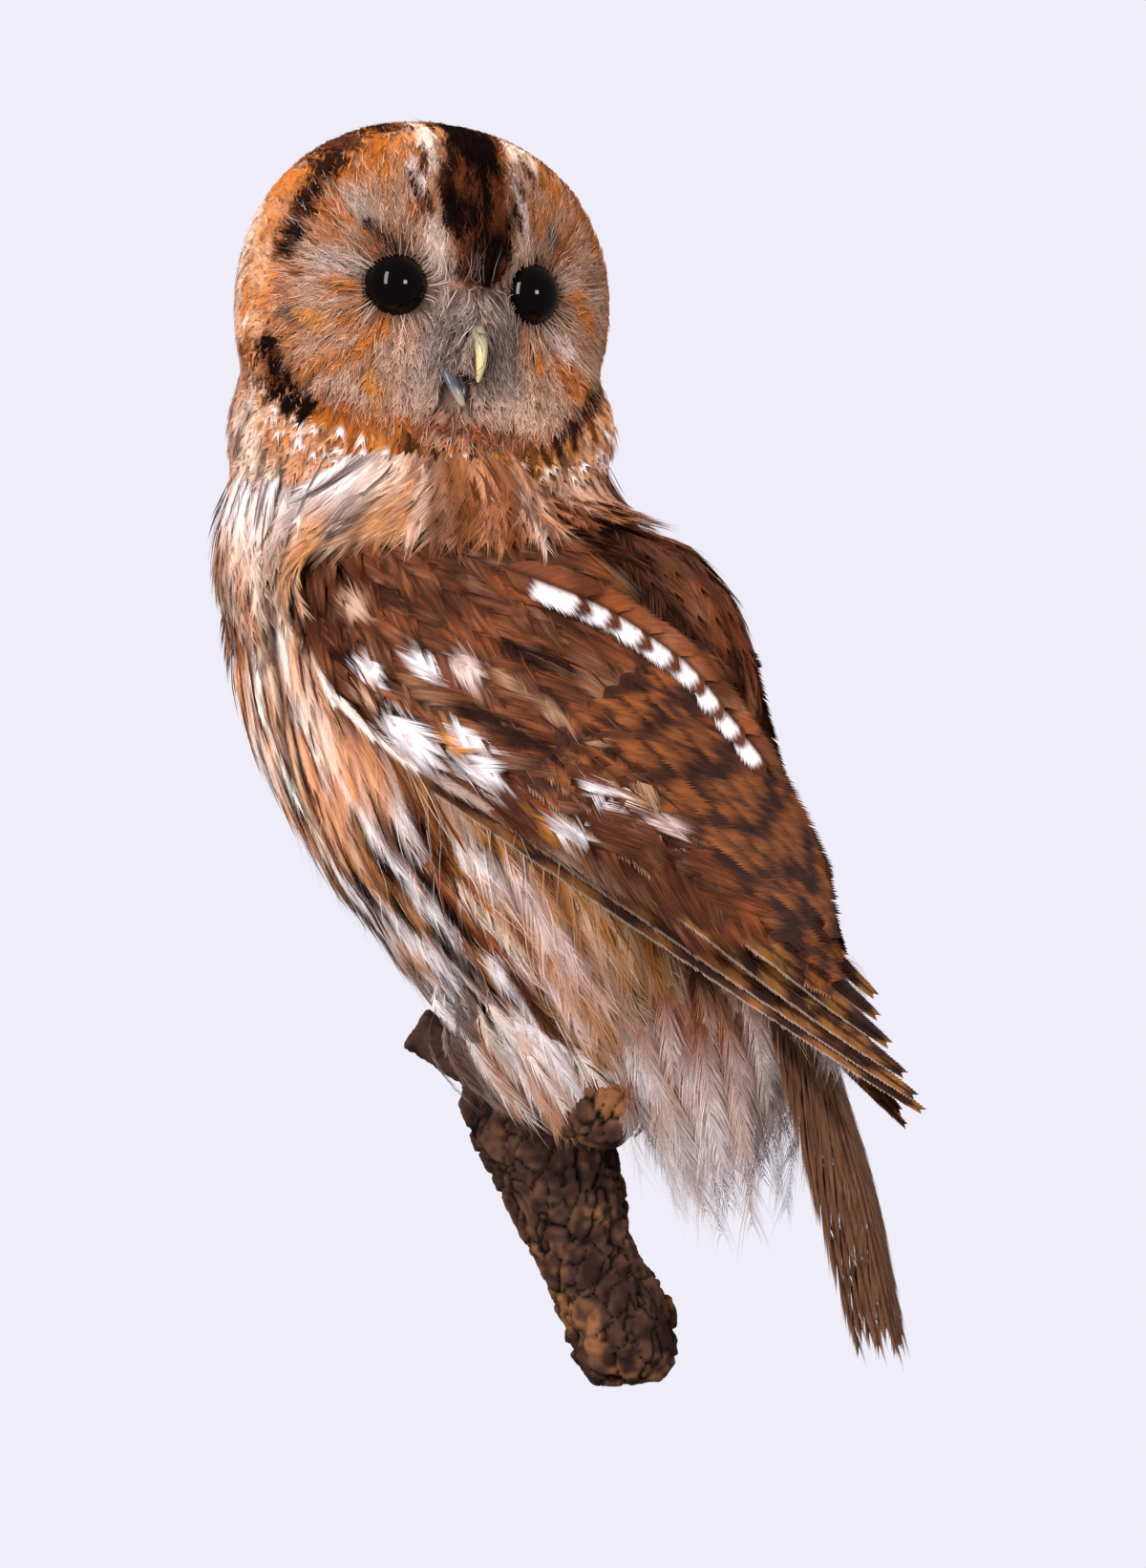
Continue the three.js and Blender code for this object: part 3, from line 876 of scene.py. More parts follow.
def strokes(colour, across, along, marks, fray):
    """Lays frayed strokes over a colour; each is its start, end, half width and dye, in mm on the coat laid flat."""
    here = np.stack([across, along], axis=-1)
    for mark in marks:
        start, end = np.array(mark[:2], float), np.array(mark[2:4], float)
        half, paint = mark[4:]
        way = end - start
        t = np.clip(((here - start) @ way) / (way @ way), 0, 1)
        gap = np.linalg.norm(here - start - t[..., None] * way, axis=-1)
        wide = half * (0.5 + 0.5 * np.sin(np.pi * (0.14 + 0.72 * t)))
        if paint.sum() < 0.1:
            colour = mixed(colour, FOX, rise(1.6, 1.1, gap / wide + fray) * 0.75)
        colour = mixed(colour, paint, rise(1.08, 0.92, gap / wide + fray))
    return colour


def brushed(base, ground, share=0.35, lift=0.14, root=0.5):
    """Colouring from the ground under each place, shifted towards each feather's own colour, with painted shade
    towards each feather's root.
    """
    def colouring(owner, across, along, strand, places):
        colour = mixed(ground(places - np.array([0, 0, 5.0]) * (strand - 0.5)[:, None]), base[owner], share)
        # Painted shade: the last factor darkens each feather towards its root, where the feathers over it cover it.
        return colour * ((1 - lift + 2 * lift * strand) * (root + (1 - root) * rise(0.0, 0.55, along)))[:, None]
    return colouring


# Strokes on the head, as seen from in front: start and end, half width, dye. The dark arcs and the grey patch just
# above the eyes are painted shadow under the brows.
HEAD_MARKS_AND_SHADOWS = [
    (37, 32, 22, 41, 4.6, TAWNY), (42, 22, 34, 19, 2.8, TAWNY), (35, 27, 30, 19, 3.4, GREY_BUFF),
    (42, 8, 32, 6, 4.6, GREY_BUFF), (33, 12, 28, 14, 2.2, FOX), (40, 1, 32, -1, 3.0, TAWNY),
    (47, -8, 41, -10, 2.4, OCHRE), (37, -8, 33, -11, 2.2, TAWNY), (24, -8, 32, -18, 2.6, TAWNY),
    (32, -18, 43, -25, 3.2, TAWNY), (39, -26, 28, -28, 3.0, ROSY), (28, -24, 23, -29, 2.2, OCHRE),
    (38, -34, 10, -37, 3.0, RUFOUS), (20, -14, 15, -30, 4.0, ROSY), (12, -36, -18, -37, 2.6, FOX),
    (-21, 42, -31, 34, 4.0, TAWNY), (-17, -10, -23, -15, 3.0, TAWNY), (-30, -13, -39, -24, 4.4, TAWNY),
    # The grey stroke at the end of the next line, above the right eye, is painted shadow under the brow.
    (-29, -8, -35, -11, 2.6, PINKISH), (-12, -26, -22, -32, 4.0, ROSY), (-24, 24, -28, 20, 2.2, GREY * 0.5),
    (-27, 19, -32, 16, 2.0, FOX), (-36, 6, -42, -4, 3.0, TAWNY),
    # Painted shadow under the brows: the three dark arcs just above the eyes on the next line.
    (31, 19, 26, 15.5, 2.0, SEPIA), (26, 15.5, 16, 13.5, 1.9, SEPIA), (-18, 16.5, -24, 15, 1.2, UMBER),
    (30, 46, 38, 38, 2.4, UMBER), (36, 40, 44, 28, 2.6, SEPIA), (43, 30, 48, 17, 2.6, SEPIA),
    (47.5, 19, 50.5, 9, 2.4, PITCH), (30, 48, 18, 51, 3.0, SEPIA), (44, 35, 49, 27, 1.8, TAWNY),
    (50, -7, 46, -10, 1.6, GREY * 0.4), (52, -15, 49, -23, 2.0, PITCH), (49.5, -21, 46.5, -29, 2.4, PITCH),
    (47, -27, 40, -33, 2.2, PITCH), (-47, -18, -38, -28, 2.4, PITCH), (-40, -26, -29, -37, 2.2, SEPIA),
    (11, 50, 13, 38, 2.6, CREAM), (18, 38, 16, 28, 2.4, PINKISH), (17, 28, 15, 22, 2.2, FOX),
    (15, 30, 14, 24, 1.0, PITCH), (19, 34, 17, 27, 1.1, SEPIA), (13.5, 43, 15, 36, 1.1, UMBER),
    (20, 27, 18, 21, 1.3, RUFOUS), (14, 20, 9, 6, 2.8, mixed(GREY_BUFF, CREAM, 0.5)),
    (-14, 47, -22, 42, 2.8, CREAM),
    (-13.5, 38, -15.5, 20, 2.0, PINKISH), (-12, 29, -14, 22, 1.4, PITCH), (-8.5, 44, -10, 38, 1.4, OCHRE),
    (-3, 46, -6, 40, 1.6, FOX), (-22, 50, -30, 42, 1.4, UMBER), (-17, 45, -21, 38, 1.2, UMBER),
    (-34, 41, -41, 30, 1.4, FOX), (24, 46, 28, 38, 1.6, RUFOUS),
    (-14.5, 36, -16, 31, 1.0, SEPIA), (-15, 19, -13, 8, 2.4, ROSY),
]


def head_marks_and_shadows(colour, head, fray):
    marked = strokes(colour, head[..., 0], head[..., 2], HEAD_MARKS_AND_SHADOWS, fray * 0.75)
    return mixed(colour, marked, rise(-14, -5, head[..., 1]))


def face_colours(head, seed=0):
    """Colours of the face disc, brows and forehead wedge over places in the head's frame."""
    x, z = head[..., 0], head[..., 2]
    reach = disc_reach(head)
    eye = EYES[(x < 0).astype(int)]
    out = np.abs(x) - np.abs(eye[..., 0])
    dz = z - eye[..., 2]
    far = np.hypot(out, dz)
    angle = np.arctan2(dz, out)
    hand = np.sign(x) * 5
    strand = fibres(8 + seed, angle * 9, far / 14, hand)
    fine = fibres(5 + seed, angle * 24, far / 10, hand)
    colour = layered(
        ASH,
        (ROSY, rise(0.3, 0.7, fine)),
        (TAWNY * 0.9, rise(0.4, 0.7, strand) * rise(11, 18, far) * (0.5 + 0.35 * rise(5, 20, z))),
        (RUFOUS, rise(0.88, 0.98, reach) * 0.6),
    )
    colour = head_marks_and_shadows(colour, head, (fine - 0.5) * 1.4)
    colour = layered(
        colour,
        (ROSY, 0.5 * rise(0.36, 0.2, fine) * rise(10, 18, far)),
        (UMBER, 0.6 * rise(0.6, 0.78, fine) * rise(10, 14, far)),
        (UMBER, rise(12.0, 10, far) * 0.6),
    )
    colour = colour * (1 - 0.16 * rise(2, 16, z) * rise(12, 20, far))[..., None]
    middle = np.abs(x + 0.5)
    whiskers = rise(17, 9, middle - 3 * rise(0, -14, z)) * rise(6, -3, z) * rise(-36, -28, z)
    lines = fibres(9 + seed, x / 1.1 + z / 14, z / 16, 0)
    grey = layered(
        GREY,
        (PINKISH, rise(6, 14, middle) * rise(-4, -14, z) * rise(0.35, 0.6, lines) * 0.8),
        (SLATE * 0.35, rise(0.52, 0.66, lines) * rise(-28, -14, z) * 0.85),
        (ROSY, rise(-18, -30, z) * 0.6),
    )
    colour = mixed(colour, grey, whiskers * 0.92)
    return forehead(colour, head, seed)


def forehead(colour, head, seed):
    """The dark wedge that runs from the crown down between the eyes."""
    z = head[..., 2]
    wedge_half = np.interp(z, [2, 5, 9, 20, 34, 43, 52], [1.5, 5, 7.5, 10.5, 11.5, 9.5, 9])
    wedge_half = wedge_half + 4.0 * (clouds(head, (2.2, 9, 4), 33) - 0.5)
    off_middle = np.abs(head[..., 0] - np.interp(z, [4, 12, 20, 34, 43, 50], [-2.0, -1.6, -0.5, 1.0, -1.5, -3.0]))
    wedge = rise(wedge_half + 0.8, wedge_half - 0.8, off_middle) * rise(1, 5, z) * rise(-10, 0, head[..., 1])
    heart = clouds(head, (2.2, 12, 10), 31 + seed)
    foxy = rise(0.6, 0.76, heart) * 0.6 + rise(14, 5, z) * rise(0.3, 0.5, heart) * 0.9
    foxy = foxy + rise(0.75, 1.0, off_middle / wedge_half) * rise(0.45, 0.6, heart) * 0.8
    return mixed(colour, mixed(PITCH * 0.8, FOX * 0.8, np.clip(foxy, 0, 1) * 0.85), wedge)


def rim_colours(head, seed=0):
    """Colours just outside the disc: dark crescents and, under the chin, the orange ruff."""
    x, z = head[..., 0], head[..., 2]
    patch = clouds(head, (4, 4, 4), 41 + seed)
    fleck = clouds(head, (2.2, 2.2, 5), 43 + seed)
    colour = mixed(BUFF, TAWNY, rise(0.35, 0.65, patch) * 0.8)
    colour = mixed(colour, UMBER, rise(0.6, 0.75, fleck) * 0.7)
    under = rise(-26, -34, z) * rise(36, 28, np.abs(x))
    orange = mixed(RUFOUS, OCHRE, rise(0.4, 0.65, patch) * 0.8)
    orange = mixed(orange, SEPIA, rise(0.42, 0.28, clouds(head, (6, 6, 5), 45)) * 0.95)
    colour = mixed(colour, orange, under)
    return forehead(head_marks_and_shadows(colour, head, (fleck - 0.5) * 1.2), head, seed)


def crown_colours(head, seed=0):
    """Crown, sides and nape: mottled dark on top, buff with brown streaks at the sides."""
    y, z = head[..., 1], head[..., 2]
    grain = clouds(head, (2.4, 2.4, 6), 51 + seed)
    patch = clouds(head, (8, 8, 8), 53 + seed)
    side = layered(
        mixed(ROSY, CREAM, 0.5),
        (TAWNY, rise(0.35, 0.6, patch) * 0.75),
        (CREAM, rise(0.34, 0.2, grain) * 0.8),
        (UMBER, rise(0.6, 0.7, grain) * 0.85),
    )
    top = mixed(SEPIA, RUFOUS, rise(0.5, 0.7, grain) * 0.8)
    top = mixed(top, CREAM, rise(0.66, 0.74, patch) * rise(0.45, 0.6, grain) * 0.9)
    colour = mixed(side, top, rise(28, 38, z))
    nape = mixed(FOX, UMBER, rise(0.4, 0.6, grain))
    colour = mixed(colour, nape, rise(-4, -24, y) * rise(-55, -25, z + 0.6 * y + 30) * 0.75)
    return forehead(head_marks_and_shadows(colour, head, (grain - 0.5) * 1.2), head, seed)


def flow_frame(places):
    body = BODY.own(places)
    angle = np.arctan2(body[..., 0], body[..., 1] + 5)
    return body, angle


def breast_colours(places, seed=0):
    """Silky cream and white, ochre towards the wing, with long thin dark streaks."""
    body, angle = flow_frame(places)
    s = body[..., 2]
    warm = fibres(63, angle * 8.0, s / 40.0, 3)
    hairline = fibres(65 + seed, angle * 40, s / 26.0, 0)
    colour = mixed(mixed(CREAM, OCHRE, 0.25), WHITE, rise(0.4, 0.55, hairline))
    near_wing = rise(0.7, 1.05, np.abs(angle) + 0.3 * (warm - 0.5))
    colour = layered(
        colour,
        (OCHRE, rise(0.4, 0.28, hairline) * 0.8),
        (OCHRE, np.clip(rise(0.4, 0.66, warm) * 0.75 + near_wing * 0.8, 0, 0.9) * (0.6 + 0.4 * hairline)),
        (FOX, near_wing * rise(0.55, 0.7, hairline) * 0.7),
    )
    streak = fibres(61, angle * 20.0 + s / 60, s / 26.0, 0)
    colour = mixed(colour, RUFOUS, rise(0.66, 0.72, streak) * 0.8)
    return np.minimum(mixed(colour, SEPIA, rise(0.73, 0.77, streak) * 0.95) * [1.2, 1.08, 0.98], 1)


ROUND = 48  # millimetres along the belly for each radian round it
# Streaks and patches of the belly: angle round the body and height on it, start and end, half width, dye.
BELLY_MARKS = [
    (-1.45, -46, -1.6, -58, 4.2, PINKISH), (-1.23, -46, -1.32, -72, 2.6, CREAM),
    (-1.49, -59, -1.7, -85, 3.2, PINKISH), (-1.14, -68, -1.13, -84, 3.6, WHITE),
    (-1.02, -86, -0.93, -104, 4.4, WHITE), (-1.34, -80, -1.34, -84, 3.8, PINKISH),
    (-1.36, -92, -1.34, -97, 4.4, PINKISH), (-1.28, -69, -1.27, -72, 2.4, PINKISH),
    (-1.12, -13, -1.17, -27, 3.0, WHITE), (-1.35, -36, -1.42, -45, 3.2, WHITE),
    (-1.08, -44, -1.22, -66, 3.4, FOX), (-1.12, -28, -1.2, -40, 2.6, FOX),
    (-0.92, -14, -1.0, -37, 3.6, WHITE), (-0.96, -38, -1.03, -57, 3.4, WHITE),
    (-0.78, -52, -0.86, -71, 3.8, WHITE), (-0.66, -34, -0.7, -52, 3.2, WHITE),
    (-0.6, -62, -0.62, -80, 3.4, WHITE), (-0.5, -20, -0.55, -38, 3.0, WHITE),
    (-1.22, -15, -1.24, -35, 2.2, PITCH), (-1.03, -14, -1.06, -38, 1.8, PITCH),
    (-0.98, -24, -1.05, -46, 1.2, FOX), (-0.86, -66, -0.8, -92, 2.2, PITCH), (-0.94, -80, -0.86, -100, 1.4, FOX),
    (-1.06, -38, -1.13, -62, 2.4, PITCH), (-0.82, -20, -0.9, -35, 1.7, PITCH),
    (-0.76, -29, -0.81, -53, 1.6, PITCH), (-0.91, -50, -1.0, -77, 2.7, PITCH),
    (-0.74, -64, -0.66, -92, 1.8, PITCH), (-0.56, -54, -0.5, -78, 1.5, PITCH),
    (-0.6, -22, -0.63, -44, 1.5, PITCH), (-1.22, -72, -1.1, -108, 2.4, UMBER),
    (-1.69, -68, -1.72, -88, 1.5, SEPIA), (-1.42, -30, -1.5, -42, 1.6, SEPIA),
]


def belly_colours(places, seed=0):
    """Bold black streaks and long white patches over ochre fluff with faint cross bars."""
    body, angle = flow_frame(places)
    s = body[..., 2]
    hairline = fibres(67 + seed, angle * 40, s / 22.0, 0)
    patch = fibres(73, angle * 6.0, s / 24.0, 0)
    colour = layered(
        mixed(BUFF, TAWNY, 0.5),
        (OCHRE * 0.9, rise(0.3, 0.6, patch) * 0.8),
        (CREAM, rise(0.6, 0.75, hairline) * 0.5),
        (mixed(FOX, UMBER, 0.4), rise(0.46, 0.34, hairline) * (0.6 + 0.35 * rise(1.0, 1.3, np.abs(angle)))),
        (WHITE, rise(0.54, 0.62, patch) * rise(1.1, 0.9, np.abs(angle)) * 0.7),
    )
    bars = 0.5 + 0.5 * np.sin(s * 1.3 + 5 * clouds(places, 8, 75))
    colour = mixed(colour, FOX, rise(0.65, 0.9, bars) * rise(0.2, 0.4, patch) * 0.3)
    fray = (fibres(79 + seed, angle * 60, s / 6, 0) - 0.5) * 0.9
    around = [(a * ROUND, b, c * ROUND, d, half, paint) for a, b, c, d, half, paint in BELLY_MARKS]
    colour = strokes(colour, -np.abs(angle) * ROUND, s, around, fray)
    lane = fibres(71, angle * 9.0, s / 34.0, 0)
    front = rise(0.5, 0.3, np.abs(angle))
    colour = mixed(colour, WHITE, rise(0.45, 0.35, lane) * front)
    colour = mixed(colour, PITCH, rise(0.58, 0.63, lane) * front * rise(-108, -98, s))
    low = rise(-84, -104, s)
    return mixed(colour, GREY_BUFF, low * rise(0.4, 0.7, hairline) * 0.4)


def flank_colours(places, seed=0):
    """Long ochre, orange and brown hair under the wing."""
    body, angle = flow_frame(places)
    s = body[..., 2]
    lane = fibres(81 + seed, angle * 20.0, s / 45.0, 0)
    wide = fibres(83, angle * 6.0, s / 34.0, 0)
    return layered(
        OCHRE * 0.85,
        (FOX, rise(0.34, 0.54, wide)),
        (UMBER, rise(0.52, 0.66, wide) * 0.9),
        (CREAM, rise(0.62, 0.68, lane) * 0.5),
        (SEPIA, rise(0.38, 0.28, lane) * 0.9),
        (GREY_BUFF, rise(-70, -95, s) * rise(0.45, 0.6, lane) * 0.6),
    )


def neck_colours(places, seed=0):
    """White at the front of the neck, then ochre curls, then buff with brown edged streaks round its side."""
    head = HEAD.own(places)
    x, high = head[..., 0], places[..., 2]
    from_axis = places - NECK_AXIS
    angle = np.arctan2(from_axis[..., 0], from_axis[..., 1])
    lane = fibres(91, angle * 11.0 + high / 30, high / 24.0, 0)
    wide = fibres(93, angle * 6.0, high / 22.0, 0)
    hairline = fibres(97 + seed, angle * 34, high / 16.0, 0)
    colour = layered(
        mixed(ROSY, TAWNY, 0.25),
        (CREAM, rise(0.34, 0.56, hairline)),
        (TAWNY, rise(0.4, 0.6, wide) * (0.35 + 0.5 * hairline)),
        (FOX, rise(171, 162, high) * rise(0.35, 0.6, wide) * rise(30, 12, x) * 0.6),
        (UMBER, rise(0.62 - 0.06 * rise(0, -12, x), 0.7, lane) * 0.85),
        (TAWNY, rise(26, 14, x) * 0.3),
    )
    thin = fibres(95, angle * 24.0 + high / 14, high / 15.0, 0)
    colour = mixed(colour, mixed(FOX, UMBER, rise(0.4, 0.6, hairline)), rise(0.58, 0.66, thin) * 0.8)
    pale = rise(20, 34, x) * rise(150, 164, high - 0.3 * x + 12)
    colour = mixed(colour, WHITE, pale * 0.9 * rise(0.72, 0.6, lane))
    curls = rise(14, 24, x) * rise(172, 162, high) * rise(48, 38, x)
    tawny = mixed(OCHRE, mixed(UMBER, SEPIA, 0.5), np.maximum(rise(0.52, 0.6, lane), rise(0.6, 0.66, thin)))
    colour = mixed(colour, mixed(tawny, CREAM, rise(0.66, 0.76, hairline)), curls * 0.85)
    dusk = rise(-4, -34, head[..., 1])
    return mixed(colour, mixed(FOX, SEPIA, rise(0.5, 0.65, lane)), dusk * 0.75)


def back_colours(places, seed=0):
    """Brown mantle with long black streaks and rusty mottling."""
    body = BODY.own(places)
    streak = clouds(body, (5.5, 11, 46), 101)
    warm = clouds(body, (9, 9, 18), 103)
    grain = clouds(body, (2.4, 2.4, 3.2), 105 + seed)
    return layered(
        EARTH,
        (FOX, rise(0.4, 0.65, warm) * 0.9),
        (BUFF * 0.75, rise(0.6, 0.78, warm) * rise(0.35, 0.6, grain) * 0.6),
        (UMBER, rise(0.5, 0.68, grain) * 0.5),
        (PITCH, rise(0.56, 0.64, streak) * 0.92),
    )


# Strokes on the folded wing: start and end as forward and up, half width, dye.
WING_MARKS_AND_SHADOW = [
    # The first stroke, slate under the scapular row, is grey down with painted shadow where the scapulars overhang
    # the wing.
    (-62, -22, -68, -38, 3.2, SLATE * 0.5), (2, 44, -12, 30, 3.0, UMBER), (16, 30, 2, 12, 3.0, SEPIA),
    (-14, -2, -36, -30, 3.6, SEPIA), (-20, -22, -40, -40, 4.0, UMBER), (8, 8, -4, -12, 4.5, SEPIA),
    (-30, 10, -46, -6, 3.0, SEPIA), (-28, -30, -34, -56, 3.6, UMBER), (-46, -34, -58, -56, 3.0, UMBER),
    (-33, -8, -38, -18, 1.8, BUFF * 0.55), (-40, -20, -48, -34, 1.8, BUFF * 0.55),
    (-22, -40, -26, -50, 2.2, OCHRE * 0.6), (-47, -42, -54, -50, 2.6, BUFF * 0.7),
    (5, 40, 3, 36, 3.6, ROSY), (8.5, 21, 7.5, 17, 3.6, WHITE), (-7, 16, -9, 11, 3.4, WHITE),
    (-18, 9, -20, 5, 4.2, PINKISH), (7, 1, 0, -10, 5.2, WHITE), (-7, -7, -9, -13, 2.4, OCHRE),
    (-11, -7, -14, -15, 2.8, WHITE), (-12, -18, -14, -25, 4.2, WHITE), (-26, -44, -31, -48, 3.0, WHITE),
    (-40, -39, -43, -45, 3.4, WHITE), (-41.5, -42, -43, -44.5, 1.4, UMBER), (-51, -54, -54, -58, 2.4, PINKISH),
    (13, 14, 11, 10, 1.6, ROSY), (-28, 2, -31, -4, 1.8, BUFF * 0.55),
]


def row_line(up):
    """How far forward the scapular row lies at each height on the body."""
    heights = [-60, -36, -20, -11, -2, 11, 19, 30, 48, 60]
    return np.interp(up, heights, [-76, -75, -74, -71, -66, -58, -48, -35, -8, 10])


def with_cape(colour, places, seed=0):
    """The neck's colours carried on over the top of the shoulders."""
    edge = 160.5 + 7 * (clouds(places, (3.0, 3.0, 14), 123) - 0.5)
    return mixed(colour, neck_colours(places, seed), rise(-1, 1, places[..., 2] - edge))


def mantle_ground(places):
    return with_cape(back_colours(places), places)


def wing_colours(places, seed=0):
    """Dark brown wing with mottling, blotches and pale spots."""
    body = BODY.own(places)
    forward, up = body[..., 1], body[..., 2]
    blotch = billows(body, (8, 8, 11), 111)
    grain = clouds(body, (2.0, 2.0, 2.8), 113 + seed)
    colour = layered(
        EARTH,
        (FOX * 0.9, rise(0.5, 0.68, blotch) * 0.8),
        (UMBER, rise(0.52, 0.38, blotch) * 0.9),
        (BUFF * 0.7, rise(0.6, 0.78, billows(body, (14, 14, 16), 117)) * rise(0.3, 0.6, grain) * 0.6),
        (UMBER, rise(0.5, 0.66, grain) * 0.6),
        (FOX, rise(0.36, 0.24, grain) * 0.35),
    )
    slanted = np.stack([forward * 0.92 - up * 0.39, (forward * 0.39 + up * 0.92) / 4, 0 * up], axis=-1)
    fray = (clouds(slanted, 0.9, 119 + seed) - 0.5) * 0.9
    colour = strokes(colour, forward, up, WING_MARKS_AND_SHADOW, fray)
    mantle = rise(0.5, -3, forward - row_line(up))
    return with_cape(mixed(colour, back_colours(places, seed), mantle), places, seed)


def coat_colours(places, part):
    """The colour of the coat over any place on the skin."""
    head = HEAD.own(places)
    body, angle = flow_frame(places)
    reach = disc_reach(head)
    colour = crown_colours(head)
    colour = mixed(colour, rim_colours(head), rise(1.18, 1.06, reach) * rise(0.9, 0.98, reach))
    colour = mixed(colour, face_colours(head), rise(1.0, 0.95, reach))
    trunk = breast_colours(places)
    trunk = mixed(trunk, belly_colours(places), rise(-4, -24, body[..., 2]))
    flank = rise(1.62, 1.85, np.abs(angle)) * rise(-5, -25, body[..., 2])
    trunk = mixed(trunk, flank_colours(places), flank)
    trunk = mixed(trunk, back_colours(places), rise(1.9, 2.3, np.abs(angle)) * rise(-95, -70, body[..., 2]))
    pale = mixed(CREAM, GREY_BUFF, clouds(places, 8, 121))
    wing = wing_colours(places)
    neck = neck_colours(places)
    neck = mixed(trunk, neck, rise(140, 160, places[..., 2]))
    by_part = [colour, neck, mixed(trunk, neck, rise(150, 165, places[..., 2])), pale, pale, wing, wing]
    return np.select([(part == i)[..., None] for i in range(len(FLESH))], by_part)


# --- materials


def plumage_material(name, rough, grain, shine):
    net = Net(name)
    tint = net.value("ShaderNodeAttribute", {"attribute_name": "Tint"})
    places = net.object_places()
    fine = net.noise(places, grain, 3.0, 0.6)
    colour = net.scaled(tint, 0.82 + fine * 0.22 + net.noise(places, 130.0) * 0.16)
    return net.finish(colour, rough + (fine - 0.5) * 0.25, fine, 0.25, 0.0002, Specular_IOR_Level=shine)


PLUMAGE = {
    "body_feathers": plumage_material("soft_plumage", 0.72, 1400.0, 0.03),
    "face_feathers": plumage_material("face_bristle", 0.66, 1800.0, 0.03),
    "wing_feathers": plumage_material("covert_vanes", 0.6, 1100.0, 0.05),
    "flight_feathers": plumage_material("flight_vanes", 0.5, 900.0, 0.12),
    "pale_feathers": plumage_material("pale_down", 0.8, 1500.0, 0.03),
}

# --- the skin as a piece

# Painted shade: the skin under the coat takes the coat's colours darkened to 0.62.
skin_in_painted_shade = coat_colours(skin_places, skin_part) * 0.62
add_tint(skin_mesh, skin_in_painted_shade)
flat = unwrapped(skin_places)
add_map(skin_mesh, "Vane", flat[skin_faces.ravel()])
piece_from(
    "skin", skin_mesh, PLUMAGE["body_feathers"],
    ["head", "neck", "trunk", "leg_left", "leg_right"],
)

face_centre = corner.mean(axis=1)
face_head = HEAD.own(face_centre)
face_body, face_angle = flow_frame(face_centre)
face_reach = disc_reach(face_head)


def on_part(*names):
    return np.isin(face_part, [FLESH.index(name) for name in names])


def plain_tint(base, lift=0.12):
    """Colouring from one colour for each feather, with painted shade towards its root."""
    def colouring(owner, across, along, strand, places):
        # Painted shade: darker towards the root.
        return base[owner] * ((1 - lift + 2 * lift * strand) * (0.55 + 0.45 * rise(0.0, 0.6, along)))[:, None]
    return colouring


def tipped_tint(base, tip, share, lift=0.12):
    """Colouring with a pale tip, and painted shade towards the root."""
    def colouring(owner, across, along, strand, places):
        edge = share[owner] + 0.12 * np.abs(across)
        colour = mixed(base[owner], tip[owner], rise(edge - 0.06, edge + 0.06, along))
        # Painted shade: darker towards the root.
        return colour * ((1 - lift + 2 * lift * strand) * (0.5 + 0.5 * rise(0.0, 0.5, along)))[:, None]
    return colouring


def tuft_piece(name, slot, parts, replaces=()):
    piece_from(name, joined_mesh(name, parts), PLUMAGE[slot], replaces)


def middle_of(spine, share=0.75):
    return spine[:, int(round(share * (spine.shape[1] - 1)))]


# --- face

eye_gap = np.min([np.linalg.norm(face_head - eye, axis=1) for eye in EYES], axis=0)
clear_of_eye = eye_gap > EYE_RADIUS - 1.0
out, ahead, up = face_head.T
bill_gap = (np.abs(out - 2.4) < 4.4) & (up < -13) & (up > -30) & (ahead > 26)


def over_head(colours):
    """The same colours over places in the room's frame."""
    return lambda places, seed=0: colours(HEAD.own(places), seed)


face_ground, rim_ground, crown_ground = map(over_head, (face_colours, rim_colours, crown_colours))


def near_the_bill(places):
    own = HEAD.own(places)
    return rise(14, 4, np.abs(own[:, 0])) * rise(12, 0, own[:, 2])


in_face = on_part("head") & (face_reach < 0.99) & clear_of_eye & ~bill_gap
places, ways, part = scattered(in_face, 1.55, 201)
near_bill = near_the_bill(places)
spine, normals = laid_spines(
    places, ways, part, 8.5 - 2.0 * near_bill, 4,
    uneven=0.8, wander=0.13, root=0.3, tip=2.3 + 1.2 * near_bill, hold=0.3,
)
base = face_ground(middle_of(spine))
face_parts = feathers(
    spine, normals, 1.5, 6, brushed(base, face_ground, 0.5, 0.26, 0.6), sweep=1.8, curl=0.1,
    overlap=0.85, blunt=0.25, waist=0.3, bare=0.1,
)
places, ways, part = scattered(in_face, 1.0, 202)
near_bill = near_the_bill(places)
spine, normals = laid_spines(
    places, ways, part, 8.0 + 2.0 * near_bill, 4,
    uneven=1.2, wander=0.2, root=0.6, tip=3.1 + 1.4 * near_bill, hold=0.25,
)
base = face_ground(middle_of(spine), 2)
drawn = chance.random(len(base))
own = HEAD.own(middle_of(spine, 0.5))
open_face = np.maximum(rise(11, 14, np.abs(own[:, 0])), rise(6, 2, own[:, 2]))
base = layered(
    base,
    (CREAM, rise(0.82, 0.86, drawn) * 0.5 * open_face),
    (SEPIA, rise(0.16, 0.1, drawn) * 0.55),
    (SLATE * 0.5, near_bill * rise(0.4, 0.3, drawn) * 0.7),
    (PINKISH, near_bill * rise(0.66, 0.72, drawn) * 0.6),
)
face_parts += hairs(spine, normals, 0.3, plain_tint(base, lift=0.32))
tuft_piece("face_disc", "face_feathers", face_parts)

# --- rim of the face

